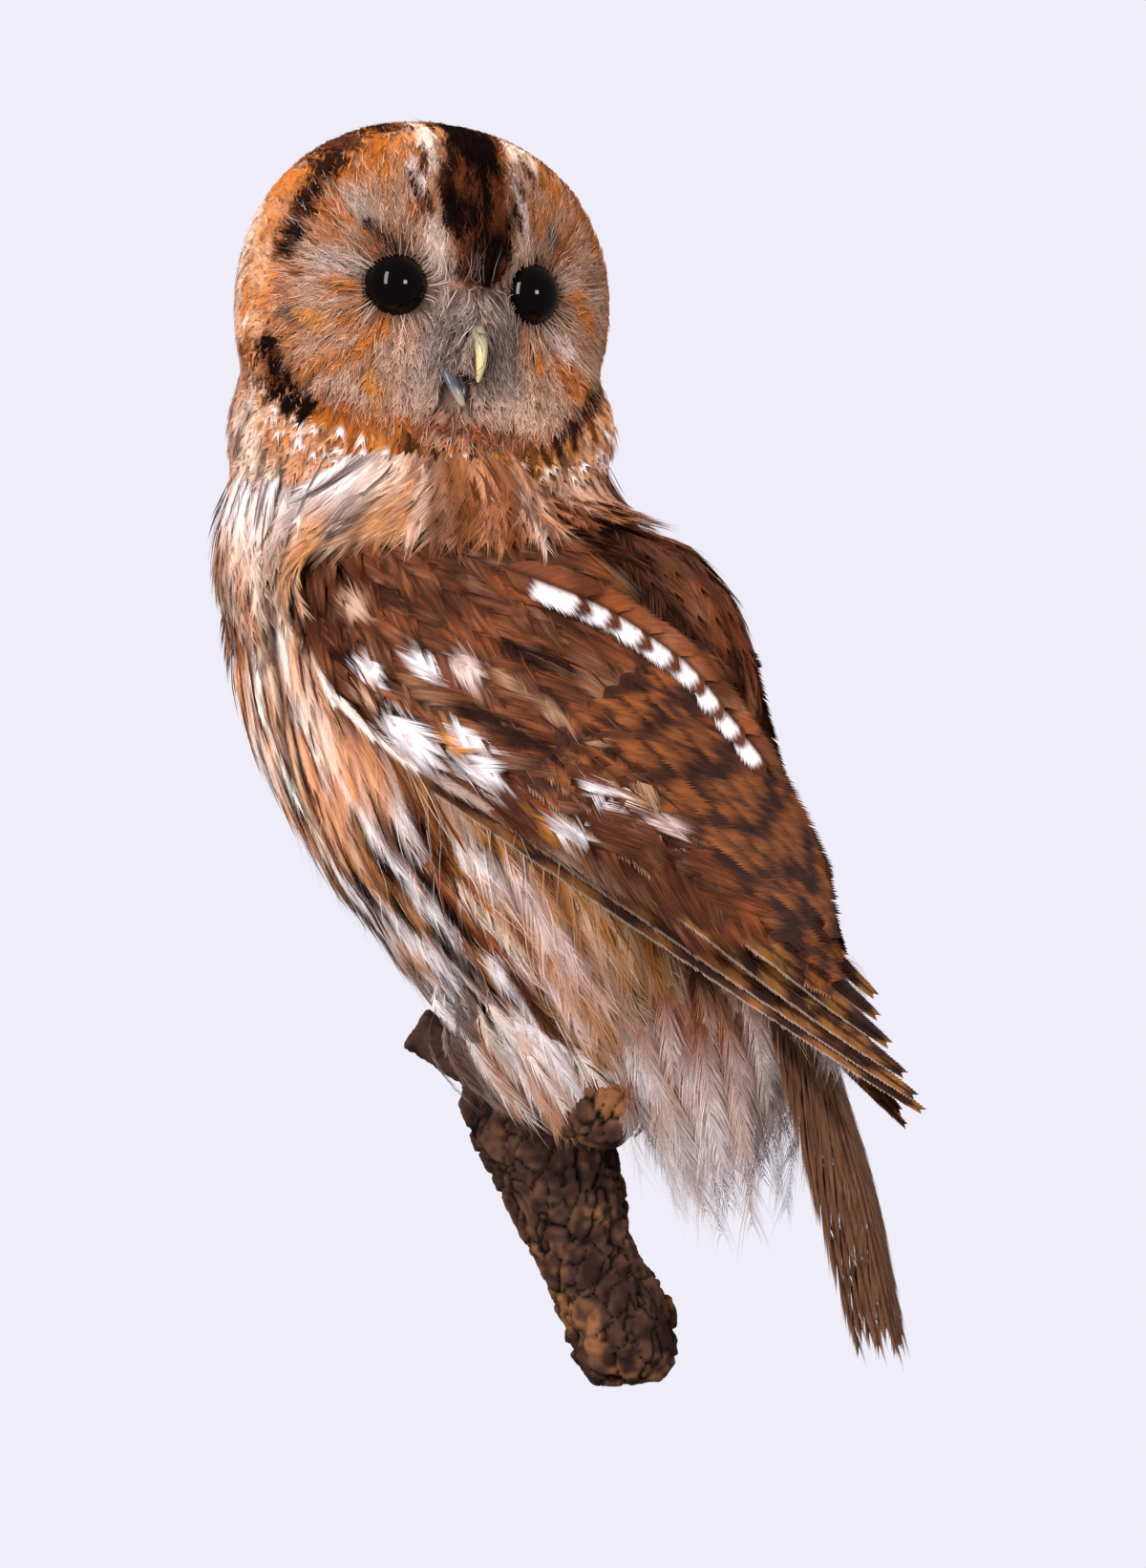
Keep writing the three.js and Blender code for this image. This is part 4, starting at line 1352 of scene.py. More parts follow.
on_rim = on_part("head", "neck") & (face_reach > 0.93) & (face_reach < 1.16) & (ahead > 0)
places, ways, part = scattered(on_rim, 1.7, 203)
spine, normals = laid_spines(places, ways, part * 0, 7.0, 4, uneven=0.7, wander=0.18, root=0.6, tip=3.4)
base = rim_ground(middle_of(spine))
rim_parts = feathers(
    spine, normals, 1.5, 8, brushed(base, rim_ground, 0.25, 0.22, 0.6), sweep=1.4, overlap=1.3, ragged=0.25,
)
ruff = on_rim & (face_reach < 1.12) & (up < -26)
places, ways, part = scattered(ruff, 2.3, 214)
spine, normals = laid_spines(places, ways, part * 0, 7.5, 5, uneven=1.0, wander=0.3, root=1.2, tip=4.6, droop=0.3)
base = rim_ground(middle_of(spine, 0.5))
dark = rise(0.3, 0.05, base[:, 0]) > 0.5
tip = mixed(CREAM, WHITE, chance.random(len(base)))
tip = mixed(tip, OCHRE, rise(0.5, 0.7, chance.random(len(base))) * 0.9)
tip = np.where(dark[:, None], base, tip)
rim_parts += feathers(
    spine, normals, 1.5, 14, tipped_tint(base, tip, 0.72 + 0.3 * chance.random(len(base))), sweep=2.6,
)
tuft_piece("face_rim", "face_feathers", rim_parts)

# --- crown, nape and sides of the head

on_crown = on_part("head") & (face_reach >= 0.99)
places, ways, part = scattered(on_crown, 2.55, 204)
own = HEAD.own(places)
size = 1 + 0.5 * rise(10, -30, own[:, 1])
spine, normals = laid_spines(places, ways, part, 10.5 * size, 5, uneven=0.8, wander=0.14, root=0.5, tip=3.6, hold=0.4)
base = crown_ground(middle_of(spine, 0.7))
tuft_piece("crown", "face_feathers", feathers(
    spine, normals, 2.2 * size, 13, brushed(base, crown_ground, 0.3, 0.24),
    sweep=1.9, overlap=1.2, ragged=0.25,
))

# --- neck

on_wing = on_part("wing_left", "wing_right")
hem = 162 - 20 * rise(-45, -68, face_centre[:, 0]) * ~on_wing
on_neck = ~on_part("head") & (face_centre[:, 2] > hem)


def one_colour(colour):
    def colouring(owner, across, along, strand, places):
        return colour[owner] if colour.ndim > 1 else np.broadcast_to(colour, (len(owner), 3))
    return colouring


places, ways, part = scattered(on_neck * ~on_wing, 2.6, 205, 1.5)
size = 0.72 + 0.28 * rise(162, 174, places[:, 2])
size = size + 0.5 * rise(-45, -68, places[:, 0]) + 0.2 * rise(-26, 0, places[:, 0])
spine, normals = laid_spines(
    places, ways, np.minimum(part, 1), (17 + chance.normal(0, 2, len(places))) * size, 7,
    wander=0.16, tip=6.4,
)
base = neck_colours(middle_of(spine))
neck_parts = feathers(
    spine, normals, 2.2 * np.minimum(size, 1), 22, brushed(base, neck_colours, 0.4, 0.2),
    sweep=3.2, blunt=0.25, split=1.4,
)
marked = np.nonzero(clouds(places, 5, 161) > 0.62)[0]
neck_parts += shafts(spine[marked], normals[marked], 0.9, one_colour(mixed(base, UMBER, 0.85)[marked]), 1.0, 0.8)
tuft_piece("neck_plumage", "body_feathers", neck_parts)

# --- cape: neck feathers that fall over the tops of the wings

CAPE_TOP, CAPE_HEM = 187, 157
FAR_OUT = 120
GOLDEN = 0.618034
turns = np.linspace(0, math.tau, 121)
ring = np.stack([np.sin(turns), np.cos(turns), 0 * turns], axis=1)
reach_at = []
for height in (CAPE_TOP, CAPE_HEM):
    starts = ring * FAR_OUT + NECK_AXIS + [0, 0, height]
    hits = [skin_tree.ray_cast(Vector(start), Vector(-way), FAR_OUT) for start, way in zip(starts, ring)]
    found = np.array([FAR_OUT - hit[3] for hit in hits[:-1]])
    for _ in range(12):
        before, after = np.roll(found, 1), np.roll(found, -1)
        found = np.maximum(found, (before + after) / 2) * 0.5 + (before + found + after) / 6
    reach_at.append(np.append(found, found[0]))
winged = np.isin(face_part[[hit[2] for hit in hits]], list(WINGS.values()))
count = int(1400 / THIN)
turn = np.arange(count) * GOLDEN % 1 * math.tau
start = np.linspace(0.2, 0.6, count) + chance.normal(0, 0.03, count)
kept = np.interp(turn, turns, winged) > 0.4
turn, start = turn[kept][:, None], start[kept][:, None]
along = np.linspace(0, 1, 9)[None]
down = start + along * (0.4 + 0.12 * chance.random(start.shape)) * (1 + 0.2 * rise(0.3, 0.6, start))
forward_sweep = 0.04 + 0.3 * rise(2.8, 3.5, turn) * rise(4.0, 3.7, turn)
swept = turn + chance.normal(0, 0.05, turn.shape) * along + forward_sweep * along**1.5
wide = mixed(*(np.interp(swept, turns, reach)[..., None] for reach in reach_at), down)
level = np.stack([np.sin(swept), np.cos(swept), 0 * swept], axis=-1)
spine = level * wide + (NECK_AXIS + [0, 0, CAPE_TOP]) - (down * (CAPE_TOP - CAPE_HEM))[..., None] * [0, 0, 1]
spine, _ = kept_above(spine, level, 1.6)
normals = unit(level + [0, 0, 0.5])
spine = spine + normals * (0.5 + 3.5 * along**0.8)[..., None]
base = neck_colours(middle_of(spine))
cape_parts = feathers(
    spine, normals, 2.6, 26, brushed(base, neck_colours, 0.35, 0.2, 0.7),
    sweep=3.4, blunt=0.25, split=1.4,
)
marked = np.nonzero(clouds(spine[:, 5], 5, 165) > 0.58)[0]
cape_parts += shafts(spine[marked], normals[marked], 0.8, one_colour(mixed(base, UMBER, 0.85)[marked]), 1.0, 0.8)
tuft_piece("cape", "body_feathers", cape_parts)

# --- breast and belly

on_trunk = on_part("trunk", "neck") & ~on_neck
round_it = np.abs(face_angle)
breast = on_trunk & (round_it < 1.9) & (face_body[:, 2] > -20)
places, ways, part = scattered(breast, 3.4, 206, 1.9)
spine, normals = laid_spines(places, ways, part, 31, 8, uneven=3, wander=0.09, tip=5.6)
spine, normals = off_wings(spine, normals)


def trunk_ground(places):
    return coat_colours(places, np.full(len(places), TRUNK))


base = trunk_ground(middle_of(spine))
breast_parts = feathers(
    spine, normals, 2.5, 30, brushed(base, trunk_ground, 0.5, 0.12, 0.84),
    sweep=4.2, overlap=0.9, blunt=0.25, split=1.4,
)
marked = np.nonzero((clouds(spine[:, 6], (5, 5, 14), 163) > 0.54) & (chance.random(len(base)) < 0.5))[0]
mark = mixed(SEPIA, FOX, chance.random(len(base)) * 0.8)
breast_parts += shafts(
    spine[marked, 2:], normals[marked, 2:], 0.7 + chance.random(len(marked)) * 0.8,
    one_colour(mark[marked]), 1.0, 1.0,
)
tuft_piece("breast", "body_feathers", breast_parts)

belly = (on_trunk & (round_it < 1.55) & (face_body[:, 2] <= -20)) | on_part("leg_left", "leg_right")
places, ways, part = scattered(belly, 3.4, 207, 1.8)
low_down = rise(-70, -105, BODY.own(places)[:, 2])
spine, normals = laid_spines(places, ways, part * 0 + TRUNK, 31 + 6 * low_down, 8, uneven=4, wander=0.12, tip=6.4)
spine, normals = off_wings(spine, normals)
base = trunk_ground(middle_of(spine))
belly_parts = feathers(
    spine, normals, 2.5, 30, brushed(base, trunk_ground, 0.15, 0.12, 0.78),
    sweep=3.8, overlap=0.95, ragged=0.35, split=1.6,
)
tuft_piece("belly", "body_feathers", belly_parts)

# --- flanks

flank = on_trunk & (round_it >= 1.55) & (face_body[:, 2] <= -25)
places, ways, part = scattered(flank, 4.0, 213, 1.7)
spine, normals = laid_spines(places, ways, part * 0 + TRUNK, 36, 8, uneven=5, wander=0.15, tip=7.0, hold=0.3)
spine, normals = off_wings(spine, normals)
base = trunk_ground(middle_of(spine))
flank_parts = feathers(
    spine, normals, 3.4, 34, brushed(base, trunk_ground, 0.4, 0.26, 0.6),
    sweep=4.6, overlap=0.85, ragged=0.4, split=1.8,
)
tuft_piece("flanks", "body_feathers", flank_parts)

# --- loose hairs over the soft plumage

loose = on_trunk & (face_body[:, 2] < 10) & (round_it < 2.4)
places, ways, part = scattered(loose * (0.15 + 0.85 * (round_it > 1.1)), 3.8, 215, 1.4)
spine, normals = laid_spines(
    places, ways, part * 0 + TRUNK, 24, 7, uneven=6, wander=0.26, root=2.0, tip=9.0, hold=0.3,
)
spine, normals = off_wings(spine, normals)
base = trunk_ground(middle_of(spine, 0.6))
drawn = chance.random(len(base))
base = mixed(base, CREAM, rise(0.5, 0.55, drawn) * 0.35)
base = mixed(base, UMBER, rise(0.3, 0.25, drawn) * 0.7)
tuft_piece("loose_hairs", "body_feathers", hairs(spine, normals, 0.42, plain_tint(base, lift=0.2)))

# --- back

back = on_trunk & (((round_it >= 1.9) & (face_body[:, 2] > -20)) | ((round_it >= 1.55) & (face_body[:, 2] > -25)))
places, ways, part = scattered(back, 4.4, 208, 1.5)
spine, normals = laid_spines(places, ways, part, 27, 7, uneven=2, wander=0.1, tip=4.6)
base = mantle_ground(middle_of(spine))
back_parts = feathers(
    spine, normals, 5.2, 34, brushed(base, mantle_ground, 0.2, 0.2),
    sweep=2.2, overlap=1.2, blunt=0.35, waist=0.4, ragged=0.2, split=1.0,
)
marked = np.nonzero((chance.random(len(base)) < 0.3) & (spine[:, 0, 2] < 158))[0]
back_parts += shafts(spine[marked], normals[marked], 1.4 + chance.random(len(marked)), one_colour(PITCH), 1.0)
tuft_piece("mantle", "body_feathers", back_parts)

# --- vent


def hanging(count, seed, middle, reach, drop, sway):
    """Plumes that hang from under the rump: spread round a middle, down by a drop, in the room's frame."""
    pick = np.random.default_rng(seed)
    turn = pick.random(count) * math.tau
    away = np.sqrt(pick.random(count))
    out, ahead = np.cos(turn) * away, np.sin(turn) * away
    root = np.array(middle) + np.stack([out * reach[0], ahead * reach[1], pick.normal(0, 3, count)], axis=1)
    fall = drop[0] + (drop[1] - drop[0]) * pick.random(count)
    fall = fall * (1 - 0.25 * np.abs(out))
    tip = root + np.stack([
        sway + out * 7 + pick.normal(0, 2.5, count), ahead * 4 + pick.normal(0, 1.5, count), -fall,
    ], axis=1)
    share = np.linspace(0, 1, 9)[None, :, None]
    sideways = unit(np.stack([np.cos(turn) * 0.5, np.sin(turn), 0 * turn], axis=1))
    bow = sideways * (5 + 3 * pick.random(count))[:, None]
    line = root[:, None] * (1 - share) + tip[:, None] * share + bow[:, None] * np.sin(np.pi * share)
    facing = np.broadcast_to(unit(sideways + [0, -0.4, 0.1])[:, None], line.shape)
    return line, facing


def plume_tint(base, tip):
    def colouring(owner, across, along, strand, places):
        colour = mixed(base[owner], tip[owner], rise(0.3, 0.85, along))
        colour = mixed(colour, SLATE, rise(0.08, 0.02, np.abs(across)) * 0.35)
        # Random tone for each plume, and painted shade darkening it towards its root.
        return colour * ((0.8 + 0.4 * strand) * (0.6 + 0.4 * rise(0, 0.4, along)))[:, None]
    return colouring


vent_parts = []
for count, seed, middle, reach, drop, sway, half, loose in (
    (170, 221, (32, -118, 36), (24, 24), (26, 44), 7, 3.4, 0.8),
    (130, 222, (36, -120, 28), (24, 22), (32, 54), 9, 3.2, 0.6),
    (80, 223, (58, -136, 40), (14, 9), (26, 42), 9, 3.0, 0.6),
    (34, 224, (38, -126, 14), (26, 14), (38, 56), 8, 3.6, 0.4),
):
    spine, normals = hanging(int(count / THIN), seed, middle, reach, drop, sway)
    tip = spine[:, -1]
    lit = chance.random(len(tip))
    warm = mixed(BUFF, FOX, rise(0.3, 0.7, clouds(tip, 9, 131)))
    warm = mixed(warm, UMBER, rise(0.55, 0.75, clouds(tip, 6, 135)) * 0.8)
    pale = layered(
        PINKISH,
        (WHITE, lit),
        (GREY_BUFF * 0.8, rise(0.5, 0.75, clouds(tip, 6, 132)) * 0.85),
        (BUFF, rise(0.6, 0.8, clouds(tip, 6, 133)) * 0.5),
    )
    vent_parts += feathers(
        spine, normals, half, 34, plume_tint(warm, pale),
        sweep=3.4, overlap=loose, blunt=0.35, waist=0.3, ragged=0.45, split=2.4, shaft=0.35,
    )
tuft_piece("vent_plumes", "pale_feathers", vent_parts, ["vent"])

spine, normals = hanging(int(300 / THIN), 231, (-15, -123, 27), (20, 9), (16, 40), 17)
tip = spine[:, -1]
lane = clouds(tip, (3.4, 9, 40), 137)
base = layered(
    WHITE,
    (CREAM, chance.random(len(tip))),
    (TAWNY, rise(0.38, 0.32, lane) * 0.8),
    (UMBER, rise(0.57, 0.62, lane) * 0.9),
)
hem_parts = feathers(
    spine, normals, 1.9, 26, brushed(base, trunk_ground, 0.85, 0.2, 0.75),
    sweep=4.6, overlap=0.8, blunt=0.35, waist=0.3, ragged=0.5, split=2.4,
)
tuft_piece("hem_plumes", "pale_feathers", hem_parts)

# --- wings


def covert_tint(base):
    """Silky vanes: the wing's own colours, crossed by fine scribbles, with a dark shaft."""
    def colouring(owner, across, along, strand, places):
        colour = wing_colours(places)
        bright = colour.mean(axis=-1)
        scrawl = fibres(141, across * 1.6, along * 11, owner * 1.7)
        brown = rise(0.3, 0.18, bright)
        colour = layered(
            colour,
            (SEPIA, rise(0.56, 0.7, scrawl) * 0.55 * brown),
            (BUFF * 0.7, rise(0.32, 0.2, scrawl) * 0.3 * rise(0.15, 0.4, np.abs(across)) * brown),
            (SEPIA, rise(0.14, 0.03, np.abs(across)) * 0.5 * brown),
        )
        # Random tone for each feather and barb, and painted shade towards the root.
        tone_and_root_shade = base[owner] * (0.92 + 0.16 * strand) * (0.66 + 0.34 * rise(0, 0.5, along))
        return colour * tone_and_root_shade[:, None]
    return colouring


def wing_coverts(side, node, name, seed):
    share, across = wing_share(face_body)
    outer = on_part(node) & ~on_neck & (share < 0.7 - 0.14 * rise(0.5, 1, across))
    outer = outer & (across > 0.14 * rise(0.42, 0.55, share))
    towards = (face_ways * BODY.heading(np.array([side * 1.0, -0.35, 0]))).sum(axis=1)
    places, ways, part = scattered(outer * (towards > -0.35), 5.0, seed, 1.3)
    small = rise(0.05, 0.4, wing_share(BODY.own(places))[0])
    length = 15 + 14 * small + chance.normal(0, 1.5, len(places))
    spine, normals = laid_spines(
        places, ways, part, length, 7, wander=0.08, root=0.5, tip=2.0 + chance.random(len(places)) * 0.8, hold=0.3,
    )
    spine, normals, kept = on_the_wing(side, spine, normals)
    shade = 0.9 + 0.2 * chance.random(len(spine))
    parts = feathers(
        spine, normals, 5.4 + 3.4 * small[kept], 44, covert_tint(shade), joints=3 if side < 0 else 2,
        sweep=2.4, curl=0.1, overlap=1.9, waist=0.3, ragged=0.06, split=0.8,
    )
    soft = outer * (towards > 0.1) * (across < 0.86)
    wisp, wisp_ways, wisp_part = scattered(soft, 3.0, seed + 10, 1.5)
    spine, normals = laid_spines(
        wisp, wisp_ways, wisp_part, 12, 4, uneven=3, wander=0.14, root=1.2, tip=3.0, hold=0.3,
    )
    spine, normals, _ = on_the_wing(side, spine, normals)
    base = wing_colours(middle_of(spine, 0.8), 4)
    parts += hairs(spine, normals, 0.32, plain_tint(base, lift=0.25))
    edge = np.linspace(0.19, 0.66, 26)
    jitter = chance.normal(0, 0.7, (2, 26, 1)) * [0, 1, 0]
    root = wing_place(side, edge, 0.02, 0.3) + [0, 1.4, 0] + jitter[0]
    tip = wing_place(side, edge + 0.085, 0.0, 0.6) + [0, 0.9, 0] + jitter[1]
    root, tip = BODY.room(root), BODY.room(tip)
    facing = np.broadcast_to(BODY.heading(unit(np.array([side * 1.0, 0.3, 0.0]))), root.shape)
    spine, normals = straight_spines(root, tip, facing, 0.6, 6, facing)
    pale = mixed(mixed(WHITE, CREAM, 0.5), GREY_BUFF, rise(0.34, 0.44, edge))
    parts += feathers(
        spine, normals, 1.4, 22, plain_tint(pale), sweep=3.2, blunt=0.25, waist=0.3, ragged=0.35, split=1.4,
    )
    tuft_piece(name, "wing_feathers", parts, [node])


def straight_spines(roots, tips, outward, bow, steps, normals):
    share = np.linspace(0, 1, steps + 1)[None, :, None]
    line = roots[:, None] * (1 - share) + tips[:, None] * share
    line = line + outward[:, None] * bow * 4 * share * (1 - share)
    return line, np.broadcast_to(normals[:, None], line.shape).copy()


wing_coverts(-1, "wing_left", "coverts_left", 211)
wing_coverts(1, "wing_right", "coverts_right", 212)


def flight_tint(base, margin, phase, bars, lead, pale, count, edge):
    """Barred vanes with a thin margin on the leading web, and painted shade over the inner web where the next feather
    overlaps.
    """
    def colouring(owner, across, along, strand, places):
        colour = base[owner]
        wobble = 5.0 * clouds(places, 4, 151) + 1.2 * np.abs(across)
        wave = np.sin(along * 2 * math.pi * count + phase[owner] + wobble)
        colour = layered(
            colour,
            (pale, rise(0.0, 0.7, -wave) * bars * 0.55),
            (SEPIA, rise(-0.1, 0.5, wave) * bars),
            (UMBER, rise(0.5, 0.65, clouds(places, 1.8, 153)) * 0.5),
            (SEPIA, rise(0.1, 0.03, np.abs(across)) * 0.6),
            (margin, rise(edge, edge + 0.12, across * lead) * 0.9),
        )
        # Painted shade: the inner web, under the next feather, darkened by up to half.
        return colour * ((0.92 + 0.16 * strand) * (0.5 + 0.5 * rise(1.0, 0.5, -across * lead)))[:, None]
    return colouring


def flight_feathers(side, node, name):
    """Secondaries that close the lower wing and long primaries that run on to its point."""
    outward = BODY.heading(unit(np.array([side * 1.0, -0.45, 0.0])))
    count = 10
    lay = np.linspace(0, 1, count)
    tips = BODY.room(wing_place(side, 0.86 + 0.2 * lay, 0.97 - 0.5 * lay**1.2, 1.0))
    roots = BODY.room(wing_place(side, 0.42 + 0.06 * lay, 0.92 - 0.7 * lay, 0.0))
    facing = np.broadcast_to(outward, roots.shape)
    spine, normals = straight_spines(roots, tips, facing, 2.0, 12, facing)
    spine, normals = kept_above(spine, normals, np.linspace(4.6, 2.4, count)[:, None])
    base = mixed(UMBER, FOX, 0.2 + chance.random(count) * 0.4)
    tint = flight_tint(base, BUFF * 0.8, chance.random(count) * 4, 0.9, -side, TAWNY * 0.8, 5.0, 0.88)
    parts = feathers(
        spine, normals, 8.0, 90, tint,
        joints=4, curl=0.06, overlap=2.0, blunt=0.25, waist=0.1, ragged=0.03, split=1.0, shaft=0.6,
    )
    # Root and tip as shares down and across the wing, lift, half width, share of the lighter dye.
    rows = np.array([
        (0.4, 0.0, 1.42, 0.4, 0.6, 4.2, 1.0), (0.42, 0.05, 1.38, 0.5, 1.2, 4.6, 0.8),
        (0.46, 0.12, 1.32, 0.6, 1.5, 5.0, 0.3), (0.5, 0.2, 1.24, 0.7, 1.8, 5.0, 0.0),
        (0.54, 0.3, 1.17, 0.8, 2.2, 4.4, 0.0), (0.58, 0.4, 1.12, 0.95, 2.4, 4.2, 0.2),
    ])
    count = len(rows)
    roots = BODY.room(wing_place(side, rows[:, 0], rows[:, 1], 0.0))
    tips = BODY.room(wing_place(side, rows[:, 2], rows[:, 3], 0.5))
    facing = np.broadcast_to(outward, roots.shape)
    spine, normals = straight_spines(roots, tips, facing, 1.6, 14, facing)
    spine, normals = kept_above(spine, normals, rows[:, 4:5])
    base = mixed(PITCH, EARTH, rows[:, 6])
    tint = flight_tint(base, CREAM, chance.random(count) * 6, 0.9, -side, OCHRE * 0.8, 6.0, 0.78)
    parts += feathers(
        spine, normals, rows[:, 5] * 0.9, 130, tint,
        joints=4, sweep=2.0, curl=0.08, overlap=2.0, blunt=0.4, waist=0.1, ragged=0.03, split=0.6, shaft=0.7,
    )
    tuft_piece(name, "flight_feathers", parts, [node])


flight_feathers(-1, "primaries_left", "flight_left")
flight_feathers(1, "primaries_right", "flight_right")


def scapular_tint(base, lead):
    def colouring(owner, across, along, strand, places):
        colour = mixed(base[owner], back_colours(places), 0.5)
        web = across * lead
        rim = rise(0.34, 0.44, along) * rise(0.0, 0.12, web)
        colour = mixed(colour, UMBER, rim * 0.7)
        white = rise(0.42, 0.5, along) * rise(0.97, 0.92, along) * rise(0.1, 0.2, web + 0.1 * (strand - 0.5))
        colour = mixed(colour, mixed(WHITE, OCHRE, rise(0.3, 0.15, web) * 0.7), white)
        colour = mixed(colour, SEPIA, rise(0.08, 0.02, np.abs(across)) * 0.6)
        return colour * (0.88 + 0.24 * strand)[:, None]
    return colouring


for side, name in ((-1, "scapulars_left"), (1, "scapulars_right")):
    tips = scapular_tips(side)
    row = unit(np.gradient(SCAPULARS, axis=0))[:len(tips)]
    back_by = np.linspace(1, 0, 10)[None, :, None] * 27
    own = (tips[:, None] - row[:, None] * back_by) * [side, 1, 1]
    at, at_way, _ = on_skin(BODY.room(own.reshape(-1, 3)))
    outward = BODY.heading(unit(np.array([side * 1.0, -0.2, 0.1])))
    normals = unit(at_way.reshape(own.shape) + outward * 2.5)
    over = np.interp(np.arange(len(tips)), [1, 4, 7], [0, 3.5, 5.5])[:, None]
    spine = at.reshape(own.shape) + normals * (np.linspace(2.4, 8.0, 10) + over)[..., None]
    for _ in range(2):
        spine[:, 1:-1] = (spine[:, :-2] + spine[:, 2:] + spine[:, 1:-1]) / 3
        normals[:, 1:-1] = unit(normals[:, :-2] + normals[:, 2:] + normals[:, 1:-1])
    base = mixed(EARTH, FOX, chance.random(len(tips)))
    tuft_piece(name, "wing_feathers", feathers(
        spine, normals, np.linspace(6.5, 5.0, len(tips)), 60, scapular_tint(base, -side),
        joints=4, sweep=1.2, curl=0.16, overlap=1.8, waist=0.3, ragged=0.06, split=1.0, shaft=0.5,
    ))

# --- tail

count = 12
spread = np.linspace(-1, 1, count)
steps = np.linspace(0, 1, 15)
reach = 1 - 0.05 * chance.random(count) - 0.03 * np.abs(spread)
centre = along_rows(TAIL, steps, lambda row: row[2])
half = along_rows(TAIL, steps, lambda row: row[1])
arch = along_rows(TAIL, steps, lambda row: row[3])
spine = np.broadcast_to(centre, (count, 15, 3)).copy()
spine[..., 0] += spread[:, None] * (half - 7)
spine[..., 1] -= (1 - spread[:, None] ** 2) * arch * 0.6 + 0.25 * (6 - np.abs(np.arange(count) - 5.5))[:, None]
spine = spine[:, :1] + (spine - spine[:, :1]) * reach[:, None, None]
spine = BODY.room(spine)
behind = np.broadcast_to(BODY.heading(np.array([0, -1.0, 0.1])), spine.shape).copy()
base = mixed(dye(156, 104, 72), EARTH, chance.random(count) * 0.7)
tail_parts = feathers(
    spine, behind, 8.0, 110, flight_tint(base, BUFF * 0.7, chance.random(count) * 6, 0.3, 1, BUFF * 0.7, 10.0, 0.86),
    joints=3, sweep=2.2, curl=0.08, overlap=1.5, blunt=0.35, waist=0.08, ragged=0.1, split=5.0, shaft=0.9,
)
tuft_piece("tail_feathers", "flight_feathers", tail_parts, ["tail"])

# --- eyes and lids


def glass_material():
    net = Net("black_glass")
    places = net.object_places()
    depth = net.noise(places, 60.0)
    colour = net.blend(depth, PITCH * 0.15, PITCH * 0.4)
    return net.finish(colour, 0.03 + depth * 0.04, IOR=1.5, Specular_IOR_Level=0.2)


def lid_material():
    net = Net("lid_skin")
    places = net.object_places()
    wrinkle = net.noise(places, 900.0, 4.0)
    colour = net.blend(wrinkle, PITCH * 0.6, PITCH)
    return net.finish(colour, 0.35 + wrinkle * 0.25, wrinkle, 0.4)


def own_to_room(own_frame, place, ahead):
    """Matrix that puts a shape made round +Z at a place of a frame, +Z looking along ahead."""
    z = Vector(own_frame.heading(unit(np.array(ahead, float))))
    x = Vector(own_frame.heading(np.array([1.0, 0, 0])))
    x = (x - z * x.dot(z)).normalized()
    y = z.cross(x)
    turn = Matrix((x, y, z)).transposed().to_4x4()
    spot = own_frame.room(np.array(place, float)) * MM
    return Matrix.Translation(Vector(spot)) @ turn


glass = glass_material()
lid_skin = lid_material()
for side, where in (("right", 0), ("left", 1)):
    place = own_to_room(HEAD, EYES[where], (0.12 if where == 0 else -0.12, 1, 0.02))
    bm = bmesh.new()
    bmesh.ops.create_uvsphere(bm, u_segments=56, v_segments=36, radius=EYE_RADIUS * MM)
    bmesh.ops.transform(bm, matrix=place, verts=bm.verts)
    piece_from("eyeball_" + side, mesh_from(bm, "eyeball_" + side), glass, ["eye_" + side])
    bm = bmesh.new()
    start = bmesh.ops.create_circle(bm, segments=10, radius=0.6 * MM)["verts"]
    bmesh.ops.scale(bm, vec=(1.5, 1, 1), verts=start)
    bmesh.ops.rotate(bm, matrix=Matrix.Rotation(math.radians(90), 3, "X"), verts=start)
    bmesh.ops.translate(bm, vec=(EYE_RADIUS * 0.985 * MM, 0, 0), verts=start)
    bmesh.ops.spin(
        bm, geom=start + bm.edges[:], cent=(0, 0, 0), axis=(0, 0, 1), angle=math.tau, steps=48, use_merge=True,
    )
    bmesh.ops.translate(bm, vec=(0, 0, 1.2 * MM), verts=bm.verts)
    bmesh.ops.recalc_face_normals(bm, faces=bm.faces)
    bmesh.ops.transform(bm, matrix=place, verts=bm.verts)
    piece_from("lid_" + side, mesh_from(bm, "lid_" + side), lid_skin)

# --- bill, claws and feet


def horn_material(name, root, tip, low, high, grain):
    """Horn that changes from root to tip colour between two heights, in metres."""
    net = Net(name)
    places = net.object_places()
    height = net.value("ShaderNodeSeparateXYZ", out=2, Vector=places)
    fine = net.noise(net.stretched(places, (1, 1, 0.35)), grain, 4.0)
    share = (height - low) * (1 / (high - low)) + (fine - 0.5) * 0.5
    share = net.value("ShaderNodeClamp", None, Value=share)
    colour = net.blend(share, tip, root)
    return net.finish(colour, 0.3 + fine * 0.2, fine, 0.2, 0.0002, Coat_Weight=0.3)


